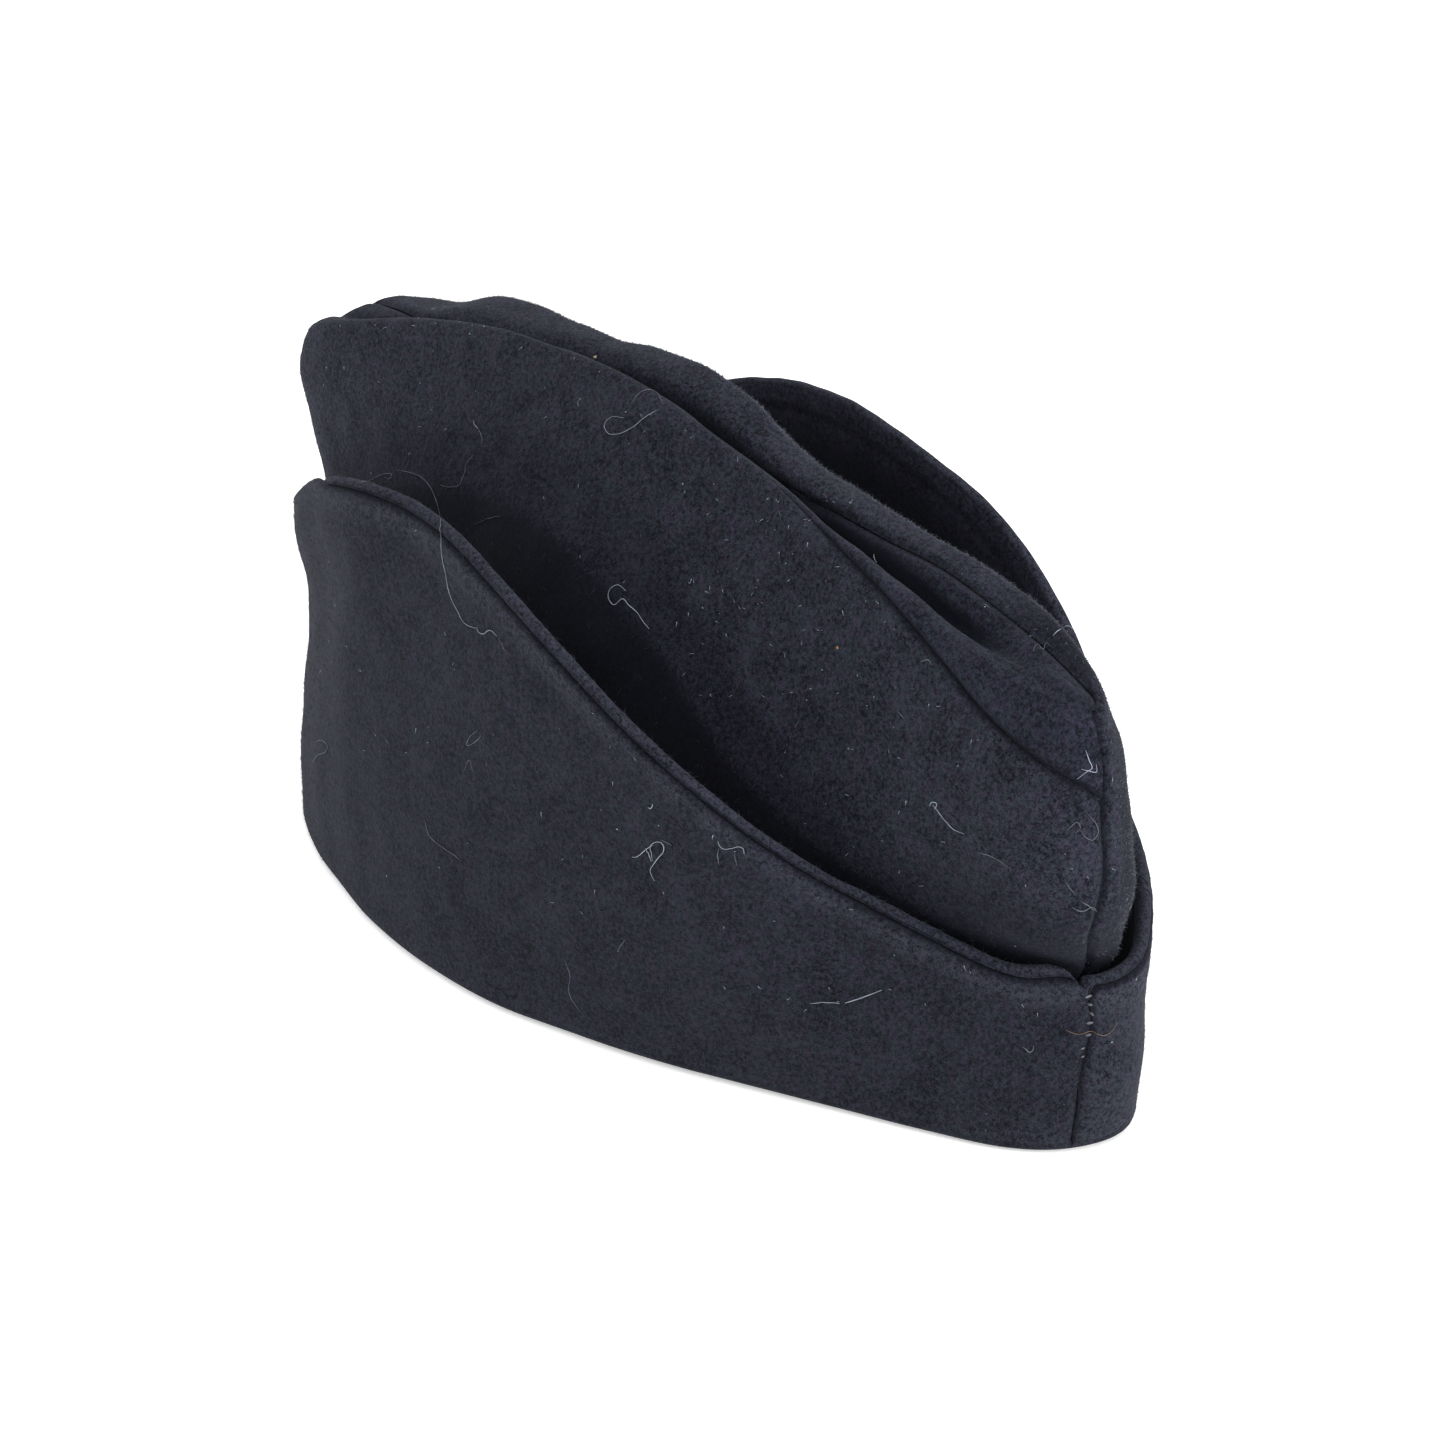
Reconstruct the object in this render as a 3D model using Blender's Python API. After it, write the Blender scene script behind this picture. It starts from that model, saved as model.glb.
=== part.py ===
"""Garrison cap of soft melton wool, opened out and standing on its own bottom fold.

Metres, +X to the low front of the cap, +Y to the wearer's left, +Z up, origin at the
middle of the bounding box on the resting surface.

The cap is two crown sides joined at the front and rear centre seams, a long narrow top
let in between the two ridges and sunk into a valley, and a turn-up of two halves, each
an outer flap with a facing behind it that rolls over the flap's edge as a bead.

Every surface follows the plan of the bottom fold by an angle counted from the front
seam, minus to the wearer's right and plus to the left.
"""
import math

import bmesh
import bpy
import numpy as np

# Driving sizes, metres
BASE_REACH = 0.1325        # middle of the head opening to the front seam at the bottom fold
HEAD_CENTRE_X = -0.0069    # middle of the head opening, seen from the middle of the cap
CAP_HEIGHT = 0.122         # top of the ridges
FLAP_HEIGHT = 0.1026       # turn-up where it stands highest, beside the rear quarter
FLAP_LEAN = 0.0165         # how far the turn-up's edge stands out at the front quarter
RIDGE_RUN = 0.256          # length of the ridges from the nose to the rear corner
RIDGE_FRONT = 0.134        # middle of the head opening to the front end of the ridges
RIDGE_HALF_GAP = 0.010     # half the width of the top between its ridges
VALLEY_DEPTH = 0.014       # how far the top sinks between the ridges
CROWN_SWELL = 0.008        # how far the crown's sides belly out past a straight line
FLAP_WALL = 0.0016         # outer cloth of the turn-up
FACING_WALL = 0.0012       # thinner cloth behind it
CROWN_WALL = 0.0018        # cloth and lining of the crown's sides
TOP_WALL = 0.0012          # single cloth of the crown's top
SEAM_WALL = 0.0010         # crown's cloth pressed thin along the seams of the top
TIP_TAPER = 8.0            # degrees from the centre seams over which it thins to the tips
TIP_THIN = 0.45            # share of the pressed cloth that is gone at the tips
CLEAR = 0.0003             # air kept between neighbouring pieces
FOLD_RADIUS = 0.0024       # rounding of the bottom fold
FOOT_WIDTH = 0.0072        # bottom fold, outside to the hem that is turned in
CROWN_INSET = 0.0042       # crown's outer face behind the turn-up's outer face at the bottom
BEAD_HEIGHT = 0.0019       # rolled edge above the flap's cloth
BEAD_INSET = 0.0004        # rolled edge behind the flap's outer face
SEAM_DROP = 0.19           # share of the crown's height from its front end down to the top's tip
EDGE_EASE = 0.00035        # raw edge of the flap's cloth under the bead, eased back
EDGE_DROP = 0.0006         # and the height over which it is
LEAN_MARKS = (0.35, 0.70, 0.92)   # heights of belly, dent and rim on the turn-up, in shares

# Turn-up by angle from the front seam. Columns: angle; plan radius right, left (shares
# of BASE_REACH); lean of the edge right, left (shares of FLAP_LEAN); height (share of
# FLAP_HEIGHT); belly low, dent high and flare at the rim (shares of FLAP_LEAN); share of
# the crown's overhang past the opening, at the front or rear end, that the edge follows
TURN_UP = (
    (0, 1.008, 1.008, 0.060, 0.070, 0.357, 0.00, 0.00, 0.00, 0.38),
    (5, 0.950, 1.018, -0.063, 0.130, 0.377, 0.00, 0.00, 0.00, 0.36),
    (10, 0.845, 0.957, -0.087, 0.183, 0.423, 0.02, 0.00, 0.00, 0.28),
    (15, 0.750, 0.860, 0.217, 0.377, 0.475, 0.04, 0.00, 0.00, 0.14),
    (20, 0.678, 0.750, 0.618, 0.618, 0.528, 0.06, 0.02, 0.00, 0.05),
    (27, 0.604, 0.640, 0.900, 0.880, 0.605, 0.08, 0.03, 0.00, 0.00),
    (34, 0.552, 0.565, 0.980, 0.980, 0.685, 0.09, 0.04, 0.00, 0.00),
    (52, 0.463, 0.460, 0.700, 0.720, 0.850, 0.09, 0.04, 0.00, 0.00),
    (75, 0.422, 0.402, 0.220, 0.250, 0.960, 0.09, 0.05, 0.00, 0.00),
    (100, 0.420, 0.405, 0.090, 0.090, 1.000, 0.09, 0.03, 0.00, 0.00),
    (125, 0.475, 0.465, 0.200, 0.150, 0.967, 0.08, -0.02, 0.06, 0.00),
    (140, 0.545, 0.565, 0.061, 0.021, 0.895, 0.06, -0.08, 0.10, 0.08),
    (150, 0.624, 0.660, -0.147, -0.147, 0.815, 0.05, -0.11, 0.13, 0.24),
    (165, 0.767, 0.792, -0.364, -0.364, 0.690, 0.02, -0.09, 0.09, 0.46),
    (173, 0.828, 0.838, -0.179, -0.179, 0.590, 0.00, -0.05, 0.06, 0.53),
    (180, 0.860, 0.860, -0.094, -0.094, 0.535, 0.00, 0.00, 0.00, 0.56),
)

# Ridges by the same angle. Columns: angle; run from the nose (share of RIDGE_RUN);
# half gap right, left (shares of RIDGE_HALF_GAP); height right, left (shares of
# CAP_HEIGHT); depth of the valley (share of VALLEY_DEPTH)
RIDGES = (
    (0, 0.000, 0.00, 0.00, 0.752, 0.752, 0.00),
    (4, 0.012, 0.32, 0.41, 0.758, 0.762, -0.04),
    (8, 0.045, 0.58, 0.74, 0.769, 0.783, -0.05),
    (11, 0.078, 0.72, 0.86, 0.785, 0.807, 0.08),
    (14, 0.110, 0.80, 0.90, 0.804, 0.828, 0.28),
    (20, 0.185, 0.89, 0.90, 0.851, 0.864, 0.58),
    (27, 0.250, 0.86, 0.86, 0.879, 0.878, 0.78),
    (34, 0.305, 0.83, 0.82, 0.914, 0.892, 0.90),
    (43, 0.355, 0.80, 0.80, 0.939, 0.907, 0.96),
    (52, 0.400, 0.80, 0.80, 0.957, 0.932, 1.00),
    (64, 0.450, 0.80, 0.80, 0.975, 0.973, 1.00),
    (75, 0.495, 0.81, 0.80, 0.991, 0.987, 1.00),
    (88, 0.540, 0.82, 0.83, 0.999, 0.991, 1.00),
    (100, 0.585, 0.83, 0.86, 0.999, 0.986, 1.00),
    (112, 0.635, 0.85, 0.90, 0.994, 0.972, 1.00),
    (125, 0.695, 0.91, 1.00, 0.988, 0.969, 0.96),
    (138, 0.765, 1.00, 1.13, 0.965, 0.962, 0.90),
    (150, 0.835, 1.12, 1.24, 0.933, 0.938, 0.80),
    (158, 0.885, 1.20, 1.28, 0.904, 0.900, 0.65),
    (165, 0.930, 1.19, 1.23, 0.877, 0.882, 0.36),
    (172, 0.975, 0.90, 0.90, 0.844, 0.858, 0.08),
    (180, 1.000, 0.00, 0.00, 0.812, 0.812, 0.00),
)

# Heights on the crown's side between its hem and its ridge, in shares
LEVELS = (0.39, 0.47, 0.62, 0.78, 0.90)

# Belly of the crown at those levels. Columns: angle; one share of CROWN_SWELL a level
SWELLS = (
    (0, 0.00, 0.62, 0.98, 0.62, 0.50),
    (5, -0.06, 0.43, 0.93, 0.80, 0.55),
    (10, 0.05, 0.33, 0.77, 0.75, 0.50),
    (20, 0.36, 0.42, 0.48, 0.42, 0.28),
    (34, 0.44, 0.50, 0.55, 0.48, 0.30),
    (52, 0.56, 0.62, 0.68, 0.56, 0.32),
    (75, 0.75, 0.86, 0.94, 0.75, 0.38),
    (100, 0.75, 0.86, 0.94, 0.75, 0.38),
    (125, 0.60, 0.70, 0.80, 0.68, 0.38),
    (150, 0.22, 0.26, 0.36, 0.44, 0.34),
    (165, -0.20, -0.18, 0.02, 0.32, 0.38),
    (173, -0.38, -0.39, -0.18, 0.34, 0.58),
    (180, -0.50, -0.52, -0.28, 0.34, 0.76),
)

# Seam of the crown's top. Columns: angle; drop below the right ridge (share of
# SEAM_DROP); reach over the left ridge (share of SEAM_REACH)
SEAM_REACH = 0.042
SEAMS = (
    (0, 1.00, 0.00),
    (3, 0.80, 0.30),
    (6, 0.62, 0.66),
    (10, 0.47, 0.84),
    (14, 0.34, 0.92),
    (20, 0.20, 1.02),
    (27, 0.10, 1.32),
    (34, 0.03, 1.75),
    (43, 0.00, 2.25),
    (75, 0.00, 2.80),
    (150, 0.00, 2.30),
    (165, 0.00, 1.20),
    (172, 0.00, 0.45),
    (180, 0.00, 0.00),
)

# Angles at which every piece has a rib
RIBS = (0, 1.5, 3.2, 5, 7.5, 10, 13, 16.5, 20, 24, 29, 34, 40, 46, 52, 59, 67, 75, 83,
        91, 100, 109, 117, 125, 132, 138, 144, 150, 155, 160, 165, 169, 173, 176.2, 178.6, 180)

# Heights on the turn-up at which both its cloths have a row, in shares
ROWS = (0.20, 0.40, 0.62, 0.80, 0.92)

# Top between its ridges, steep beside the right ridge and a broad roll from the left one.
# Columns: place, counted on from 1 at the ridge; way in from the right ridge, from the
# left ridge (shares of the gap between them); sink right, left (shares of VALLEY_DEPTH)
VALLEY = (
    (1.03, 0.155, 0.22, 0.14, 0.07),
    (1.09, 0.250, 0.46, 0.60, 0.36),
    (1.14, 0.310, 0.57, 0.93, 0.90),
    (1.16, 0.375, 0.625, 1.00, 1.00),
)
MIDDLE = VALLEY[-1][0]
PLACES = np.array((0.0,) + LEVELS + (1.0,) + tuple(row[0] for row in VALLEY))
CREST, SLOPE = 1.016, 1.06   # further places at which the top has a row


def smooth(knots, values, at):
    """Value at some place of the smooth curve through a table's points."""
    knots, values, at = (np.asarray(a, float) for a in (knots, values, at))
    step = np.diff(knots)
    rise = np.diff(values) / step
    slope = np.empty_like(values)
    slope[1:-1] = (rise[:-1] * step[1:] + rise[1:] * step[:-1]) / (step[:-1] + step[1:])
    slope[0], slope[-1] = rise[0], rise[-1]
    k = np.clip(np.searchsorted(knots, at, side="right") - 1, 0, len(step) - 1)
    u, s = (at - knots[k]) / step[k], step[k]
    return ((1 + 2 * u) * (1 - u) ** 2 * values[k] + u * (1 - u) ** 2 * s * slope[k]
            + u * u * (3 - 2 * u) * values[k + 1] + u * u * (u - 1) * s * slope[k + 1])


def around(table, right, left, at, odd=False):
    """A column read on the closed way round the cap, right column for minus angles."""
    rows = np.array(table, float)
    angle = rows[:, 0]
    sign = -1.0 if odd else 1.0
    knots = np.concatenate([angle[1:-1] - 360, -angle[:0:-1], angle, 360 - angle[-2:0:-1]])
    values = np.concatenate([rows[1:-1, left], sign * rows[:0:-1, right], rows[:, left],
                             sign * rows[-2:0:-1, right]])
    return smooth(knots, values, at)


def plan_normal(curve, phi, *more):
    """Outward direction in plan of a closed curve given by angle."""
    x0, y0 = curve(phi - 0.4, *more)[:2]
    x1, y1 = curve(phi + 0.4, *more)[:2]
    size = np.hypot(x1 - x0, y1 - y0)
    return (y1 - y0) / size, -(x1 - x0) / size


def flap_height(phi):
    return FLAP_HEIGHT * around(TURN_UP, 5, 5, phi)


def overhang(phi):
    """How far the ridges reach past the head opening, in front or at the rear."""
    front = RIDGE_FRONT - BASE_REACH * TURN_UP[0][1]
    rear = RIDGE_RUN - RIDGE_FRONT - BASE_REACH * TURN_UP[-1][1]
    turned = np.abs(phi - 360 * np.round(np.asarray(phi) / 360))
    return np.where(turned < 90, front, rear)


def flap_plan(phi, z):
    """Outer face of the turn-up at an angle and a height."""
    share = z / flap_height(phi)
    top = np.clip(share, 0.0, 1.0)
    reach = BASE_REACH * around(TURN_UP, 1, 2, phi)
    lean = FLAP_LEAN * around(TURN_UP, 3, 4, phi) + overhang(phi) * around(TURN_UP, 9, 9, phi)
    low, high, rim = (FLAP_LEAN * around(TURN_UP, c, c, phi) for c in (6, 7, 8))
    marks = list(zip((0.0,) + LEAN_MARKS + (1.0,), (low * 0, low, high, rim, rim)))
    for (a, va), (b, vb) in zip(marks, marks[1:]):
        inside = (top >= a) & (top <= b)
        u = np.clip((top - a) / (b - a), 0, 1)
        reach = reach + np.where(inside & ((top > a) | (a == 0.0)),
                                 va + (vb - va) * u * u * (3 - 2 * u), 0.0)
    reach = reach + lean * top
    angle = np.radians(phi)
    return HEAD_CENTRE_X + reach * np.cos(angle), reach * np.sin(angle)


def flap_point(phi, z, inset):
    """A point of the turn-up, some way behind its outer face."""
    x, y = flap_plan(phi, z)
    nx, ny = plan_normal(flap_plan, phi, z)
    return np.stack([x - nx * inset, y - ny * inset, z + 0 * x], -1)


def crown_rows(phi):
    """Points of the crown's section at an angle, from its hem to the middle of its top."""
    phi = np.asarray(phi, float)
    hem_z = FLAP_WALL + 2 * CLEAR + 0 * phi
    x, y = flap_plan(phi, hem_z)
    nx, ny = plan_normal(flap_plan, phi, hem_z)
    edge = np.minimum(np.abs(phi), np.abs(180 - np.abs(phi))) / 6.0
    turn = np.clip(edge, 0, 1) ** 2 * (3 - 2 * np.clip(edge, 0, 1))
    size = np.hypot(nx, ny * turn)
    mx, my = nx / size, ny * turn / size
    inset = CROWN_INSET / np.maximum(nx * mx + ny * my, 0.6)
    hem = np.stack([x - mx * inset, y - my * inset, hem_z], -1)

    def ridge(angle):
        run = around([(r[0], r[1]) for r in RIDGES], 1, 1, angle)
        side = around(RIDGES, 2, 3, angle, odd=True)
        tall = around(RIDGES, 4, 5, angle)
        return np.stack([HEAD_CENTRE_X + RIDGE_FRONT - RIDGE_RUN * run,
                         RIDGE_HALF_GAP * side, CAP_HEIGHT * tall], -1)

    crest, other = ridge(phi), ridge(-phi)
    rows = [hem]
    for column, level in enumerate(LEVELS, 1):
        swell = CROWN_SWELL * around(SWELLS, column, column, phi)
        out = np.stack([mx * swell, my * swell, 0 * swell], -1)
        rows.append(hem + (crest - hem) * level + out)
    rows.append(crest)
    depth = VALLEY_DEPTH * around(RIDGES, 6, 6, phi)
    down = np.stack([0 * depth, 0 * depth, depth], -1)
    right = phi <= 0
    for _, way_right, way_left, sink_right, sink_left in VALLEY:
        way = np.where(right, way_right, way_left)[..., None]
        sink = np.where(right, sink_right, sink_left)[..., None]
        rows.append(crest + (other - crest) * way - down * sink)
    return np.stack(rows, -2)


def crown_point(phi, place):
    """Outer face of the crown; places past MIDDLE go on down the other half."""
    phi, place = np.broadcast_arrays(np.asarray(phi, float), np.asarray(place, float))
    near, far = crown_rows(phi), crown_rows(-phi)
    rows = np.concatenate([near, far[..., -2::-1, :]], -2)
    knots = np.concatenate([PLACES, 2 * MIDDLE - PLACES[-2::-1]])
    step = np.diff(knots)
    k = np.clip(np.searchsorted(knots, place, side="right") - 1, 0, len(step) - 1)

    def row(i):
        return np.take_along_axis(rows, i[..., None, None], -2)[..., 0, :]

    def slope(i):
        a, b = np.clip(i - 1, 0, len(knots) - 1), np.clip(i + 1, 0, len(knots) - 1)
        before = (row(i) - row(a)) / np.maximum(knots[i] - knots[a], 1e-9)[..., None]
        after = (row(b) - row(i)) / np.maximum(knots[b] - knots[i], 1e-9)[..., None]
        sa = np.where(i > 0, knots[b] - knots[i], 0.0)
        sb = np.where(i < len(knots) - 1, knots[i] - knots[a], 0.0)
        sa = np.where((i > 0) & (i == len(knots) - 1), 1.0, sa)
        sb = np.where(i == 0, 1.0, sb)
        return (before * sa[..., None] + after * sb[..., None]) / (sa + sb)[..., None]

    u, s = ((place - knots[k]) / step[k])[..., None], step[k][..., None]
    return ((1 + 2 * u) * (1 - u) ** 2 * row(k) + u * (1 - u) ** 2 * s * slope(k)
            + u * u * (3 - 2 * u) * row(k + 1) + u * u * (u - 1) * s * slope(k + 1))


def crown_directions(phi, place):
    """Outward direction of the crown's face, and its direction up the section."""
    da, dp = 0.5, 0.004
    phi, place = np.broadcast_arrays(np.asarray(phi, float), np.asarray(place, float))
    first, last = phi - da, phi + da
    over = place >= 0.999
    first = np.where(over & (phi > 0), np.maximum(first, 0.0), first)
    last = np.where(over & (phi < 0), np.minimum(last, 0.0), last)
    first = np.where(over & (phi < 0), np.maximum(first, -180.0), first)
    last = np.where(over & (phi > 0), np.minimum(last, 180.0), last)
    along = crown_point(last, place) - crown_point(first, place)
    up = crown_point(phi, place + dp) - crown_point(phi, np.maximum(place - dp, 0.0))
    across = np.cross(along, up)
    return (across / np.maximum(np.linalg.norm(across, axis=-1), 1e-12)[..., None],
            up / np.maximum(np.linalg.norm(up, axis=-1), 1e-12)[..., None])


def right_seam(phi):
    return 1.0 - SEAM_DROP * np.maximum(smooth(*np.array([(r[0], r[1]) for r in SEAMS]).T,
                                               np.abs(phi)), 0.0)


def left_seam(phi):
    return 1.0 + SEAM_REACH * np.maximum(smooth(*np.array([(r[0], r[2]) for r in SEAMS]).T,
                                                np.abs(phi)), 0.0)


def seam_wall(phi):
    ends = min(abs(phi) / TIP_TAPER, (180 - abs(phi)) / TIP_TAPER, 1.0)
    return SEAM_WALL * (1 - TIP_THIN * (1 - ends))


def finish(name, bm, colour, roughness):
    bmesh.ops.remove_doubles(bm, verts=bm.verts, dist=2e-6)
    bmesh.ops.dissolve_degenerate(bm, edges=bm.edges, dist=1e-6)
    bmesh.ops.triangulate(bm, faces=[f for f in bm.faces if len(f.verts) > 4])
    bmesh.ops.recalc_face_normals(bm, faces=bm.faces)
    mesh = bpy.data.meshes.new(name)
    bm.to_mesh(mesh)
    bm.free()
    material = bpy.data.materials.new(name)
    material.use_nodes = True
    shader = material.node_tree.nodes["Principled BSDF"]
    shader.inputs["Base Color"].default_value = (*colour, 1.0)
    shader.inputs["Roughness"].default_value = roughness
    mesh.materials.append(material)
    piece = bpy.data.objects.new(name, mesh)
    bpy.context.scene.collection.objects.link(piece)
    return piece


def skin(sections):
    """Faces between closed sections that follow one another; the ends stay open."""
    bm = bmesh.new()
    rings = [[bm.verts.new(p) for p in section] for section in sections]
    for a, b in zip(rings, rings[1:]):
        for i in range(len(a)):
            j = (i + 1) % len(a)
            bm.faces.new((a[i], a[j], b[j], b[i]))
    return bm, rings


def cut_at_seams(bm, side):
    """Cut a half ring off at the front and rear centre seams and close the two ends."""
    bmesh.ops.bisect_plane(bm, geom=bm.verts[:] + bm.edges[:] + bm.faces[:], dist=1e-7,
                           plane_co=(0, side * CLEAR / 2, 0), plane_no=(0, -side, 0),
                           clear_outer=True)
    rim = [e for e in bm.edges if e.is_boundary]
    bmesh.ops.holes_fill(bm, edges=rim, sides=0)


def half_ring(side):
    """Angles of one half, a little past both seams."""
    ends = (-1.0,) + RIBS + (181.0,)
    return [side * a for a in ends]


def flap_half(name, side):
    """Outer cloth of the turn-up: edge, wall, rounded bottom fold and turned-in hem."""
    sections = []
    for phi in half_ring(side):
        tall = float(flap_height(phi))
        top = tall - BEAD_HEIGHT
        ring = [(EDGE_EASE, top), (0.0, top - EDGE_DROP)]
        ring += [(0.0, tall * k) for k in ROWS[::-1]]
        for deg in (0, 35, 68, 90):
            a = math.radians(deg)
            ring.append((FOLD_RADIUS * (1 - math.cos(a)), FOLD_RADIUS * (1 - math.sin(a))))
        ring += [(FOOT_WIDTH, 0.0), (FOOT_WIDTH, FLAP_WALL)]
        small = FOLD_RADIUS - FLAP_WALL
        for deg in (90, 45, 0):
            a = math.radians(deg)
            ring.append((FLAP_WALL + small * (1 - math.cos(a)), FOLD_RADIUS - small * math.sin(a)))
        ring += [(FLAP_WALL, tall * k) for k in ROWS] + [(FLAP_WALL, top)]
        inset, z = (np.array(c) for c in zip(*ring))
        sections.append(flap_point(np.full(len(z), phi), z, inset))
    bm, _ = skin(sections)
    cut_at_seams(bm, side)
    return finish(name, bm, (0.016, 0.019, 0.027), 0.95)


def facing_half(name, side):
    """Inner cloth of the turn-up; its edge rolls out over the flap as a round bead."""
    outer = FLAP_WALL + CLEAR
    inner = outer + FACING_WALL
    middle = (BEAD_INSET + inner) / 2
    half = (inner - BEAD_INSET) / 2
    drop = BEAD_HEIGHT - CLEAR
    foot = FOLD_RADIUS + CLEAR
    sections = []
    for phi in half_ring(side):
        top = float(flap_height(phi))
        ring = [(outer, top - drop)] + [(outer, top * k) for k in ROWS[::-1]]
        ring += [(outer, foot), (inner, foot)] + [(inner, top * k) for k in ROWS]
        for deg in (20, 60, 100, 140, 180):
            a = math.radians(deg)
            ring.append((middle + half * math.cos(a), top - half + half * math.sin(a)))
        ring.append((BEAD_INSET, top - drop))
        inset, z = (np.array(c) for c in zip(*ring))
        z = np.maximum(z, foot)
        sections.append(flap_point(np.full(len(z), phi), z, inset))
    bm, _ = skin(sections)
    cut_at_seams(bm, side)
    return finish(name, bm, (0.020, 0.023, 0.031), 0.95)


def crown_half(name, side, seam):
    """One crown side from its hem to the seam of the top."""
    shares = np.array((0, 0.13, 0.27, 0.39, 0.44, 0.50, 0.58, 0.67, 0.77, 0.86, 0.93, 0.97, 1.0))
    past = 0 * shares
    if side > 0:   # this side rolls on over its ridge
        shares = np.append(shares, (1.0, 1.0, 1.0))
        past = np.append(past, (0.33, 0.67, 1.0))
    sections = []
    for phi in half_ring(side):
        held = side * min(max(side * phi, 0.0), 180.0)
        end = float(seam(held))
        place = min(end, 1.0) * shares + (max(end, 1.0) - 1.0) * past
        at = np.full(len(place), phi)
        outer = crown_point(at, place)
        normal, up = crown_directions(at, place)
        outer[shares >= 1.0] -= up[shares >= 1.0] * CLEAR / 2
        press = np.clip((shares - 0.84) / 0.16, 0.0, 1.0)
        wall = CROWN_WALL + (seam_wall(held) - CROWN_WALL) * press
        inner = outer - normal * wall[:, None]
        inner[:, 2] = np.maximum(inner[:, 2], FLAP_WALL + CLEAR)
        sections.append(np.concatenate([outer, inner[::-1]]))
    bm, _ = skin(sections)
    cut_at_seams(bm, side)
    return finish(name, bm, (0.017, 0.020, 0.028), 0.95)


def crown_insert(name):
    """Long narrow top between the two seams, folded down into the valley."""
    sections = []
    tips = (0.08, 178.0)
    for rib in tips[:1] + RIBS[1:-2] + tips[1:]:
        start, stop = float(right_seam(rib)), 2 * MIDDLE - float(left_seam(rib))
        place = [start, (start + CREST) / 2, CREST]
        place += [VALLEY[0][0], SLOPE] + [row[0] for row in VALLEY[1:]]
        rise = 2 * MIDDLE - VALLEY[2][0]
        place += [rise + (stop - rise) * k for k in (0.0, 0.5, 1.0)]
        place = np.array(place)
        at = np.full(len(place), -rib)
        outer = crown_point(at, place)
        normal, up = crown_directions(at, place)
        outer[0] += up[0] * CLEAR / 2
        outer[-1] -= up[-1] * CLEAR / 2
        thin = seam_wall(rib)
        wall = np.full(len(place), min(TOP_WALL, thin * TOP_WALL / SEAM_WALL))
        wall[:3] = wall[-1] = thin
        if rib in tips:
            level = place >= 1.0
            outer[level] = outer[level].mean(0)
            normal[level] = normal[level].mean(0) / np.linalg.norm(normal[level].mean(0))
            wall[:] = thin * 0.5
        inner = outer - normal * wall[:, None]
        if rib in tips:
            shift = (0.0, -0.7 * CLEAR, CLEAR) if rib < 90 else (CLEAR, 0.0, 0.0)
            outer, inner = outer * (1, 0, 1) + shift, inner * (1, 0, 1) + shift
        sections.append(np.concatenate([outer, inner[::-1]]))
    bm, rings = skin(sections)
    bm.faces.new(rings[0][::-1])
    bm.faces.new(rings[-1])
    return finish(name, bm, (0.018, 0.021, 0.029), 0.95)


for old in list(bpy.data.objects):
    bpy.data.objects.remove(old, do_unlink=True)

crown_half("crown_side_right", -1, right_seam)
crown_half("crown_side_left", 1, left_seam)
crown_insert("crown_top")
flap_half("flap_right", -1)
flap_half("flap_left", 1)
facing_half("flap_facing_right", -1)
facing_half("flap_facing_left", 1)
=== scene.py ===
# %% [markdown]
# # Garrison cap of dark melton wool
#
# The cap stands opened out on its own bottom fold. It is sewn from few pieces of cloth:
# two crown sides, a long narrow top let in between them and sunk into a valley, and a
# turn-up in two halves, whose facing rolls out over the edge as a thin bead. The frame
# from the CAD model comes first and fixes every size; each of its pieces is then dressed
# with a finer cloth of the same form.

# %% Frame
import math

import bmesh
import bpy
import numpy as np
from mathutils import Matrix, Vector
from mathutils.bvhtree import BVHTree


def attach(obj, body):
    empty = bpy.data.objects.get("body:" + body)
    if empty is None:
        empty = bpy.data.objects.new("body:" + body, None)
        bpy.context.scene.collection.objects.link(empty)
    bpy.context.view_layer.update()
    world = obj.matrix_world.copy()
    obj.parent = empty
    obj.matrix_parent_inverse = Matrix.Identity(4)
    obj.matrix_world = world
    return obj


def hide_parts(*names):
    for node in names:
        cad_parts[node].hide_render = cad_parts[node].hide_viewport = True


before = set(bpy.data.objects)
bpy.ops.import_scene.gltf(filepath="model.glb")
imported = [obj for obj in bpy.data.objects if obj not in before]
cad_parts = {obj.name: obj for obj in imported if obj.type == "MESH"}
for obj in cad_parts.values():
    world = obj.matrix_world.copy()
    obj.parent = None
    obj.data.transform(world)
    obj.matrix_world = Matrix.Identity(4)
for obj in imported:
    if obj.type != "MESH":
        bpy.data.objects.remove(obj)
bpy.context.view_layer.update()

print("pieces of the frame:", ", ".join(sorted(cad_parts)))

# %% [markdown]
# ## Camera
#
# The camera is made first, because later cells place single hairs by looking through it.
# A long lens stands a little over a metre away, above the wearer's right front quarter.

# %% Camera
IMAGE = 1445   # width and height of the photograph, pixels
EYE = Vector((0.79911, -0.59003, 0.46173))
AIM = Vector((0.00342, 0.00745, 0.04595))
FOCAL_LENGTH, SENSOR_WIDTH = 130.02, 36.0   # millimetres
lens = bpy.data.cameras.new("camera")
lens.lens, lens.sensor_width = FOCAL_LENGTH, SENSOR_WIDTH
lens.clip_start, lens.clip_end = 0.05, 20.0
camera = bpy.data.objects.new("camera", lens)
bpy.context.scene.collection.objects.link(camera)
camera.location = EYE
camera.rotation_euler = (AIM - EYE).to_track_quat("-Z", "Y").to_euler()
bpy.context.scene.camera = camera
bpy.context.view_layer.update()
HALF_VIEW = lens.sensor_width / 2 / lens.lens
print("camera stands %.3f m away" % (AIM - EYE).length)

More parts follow.
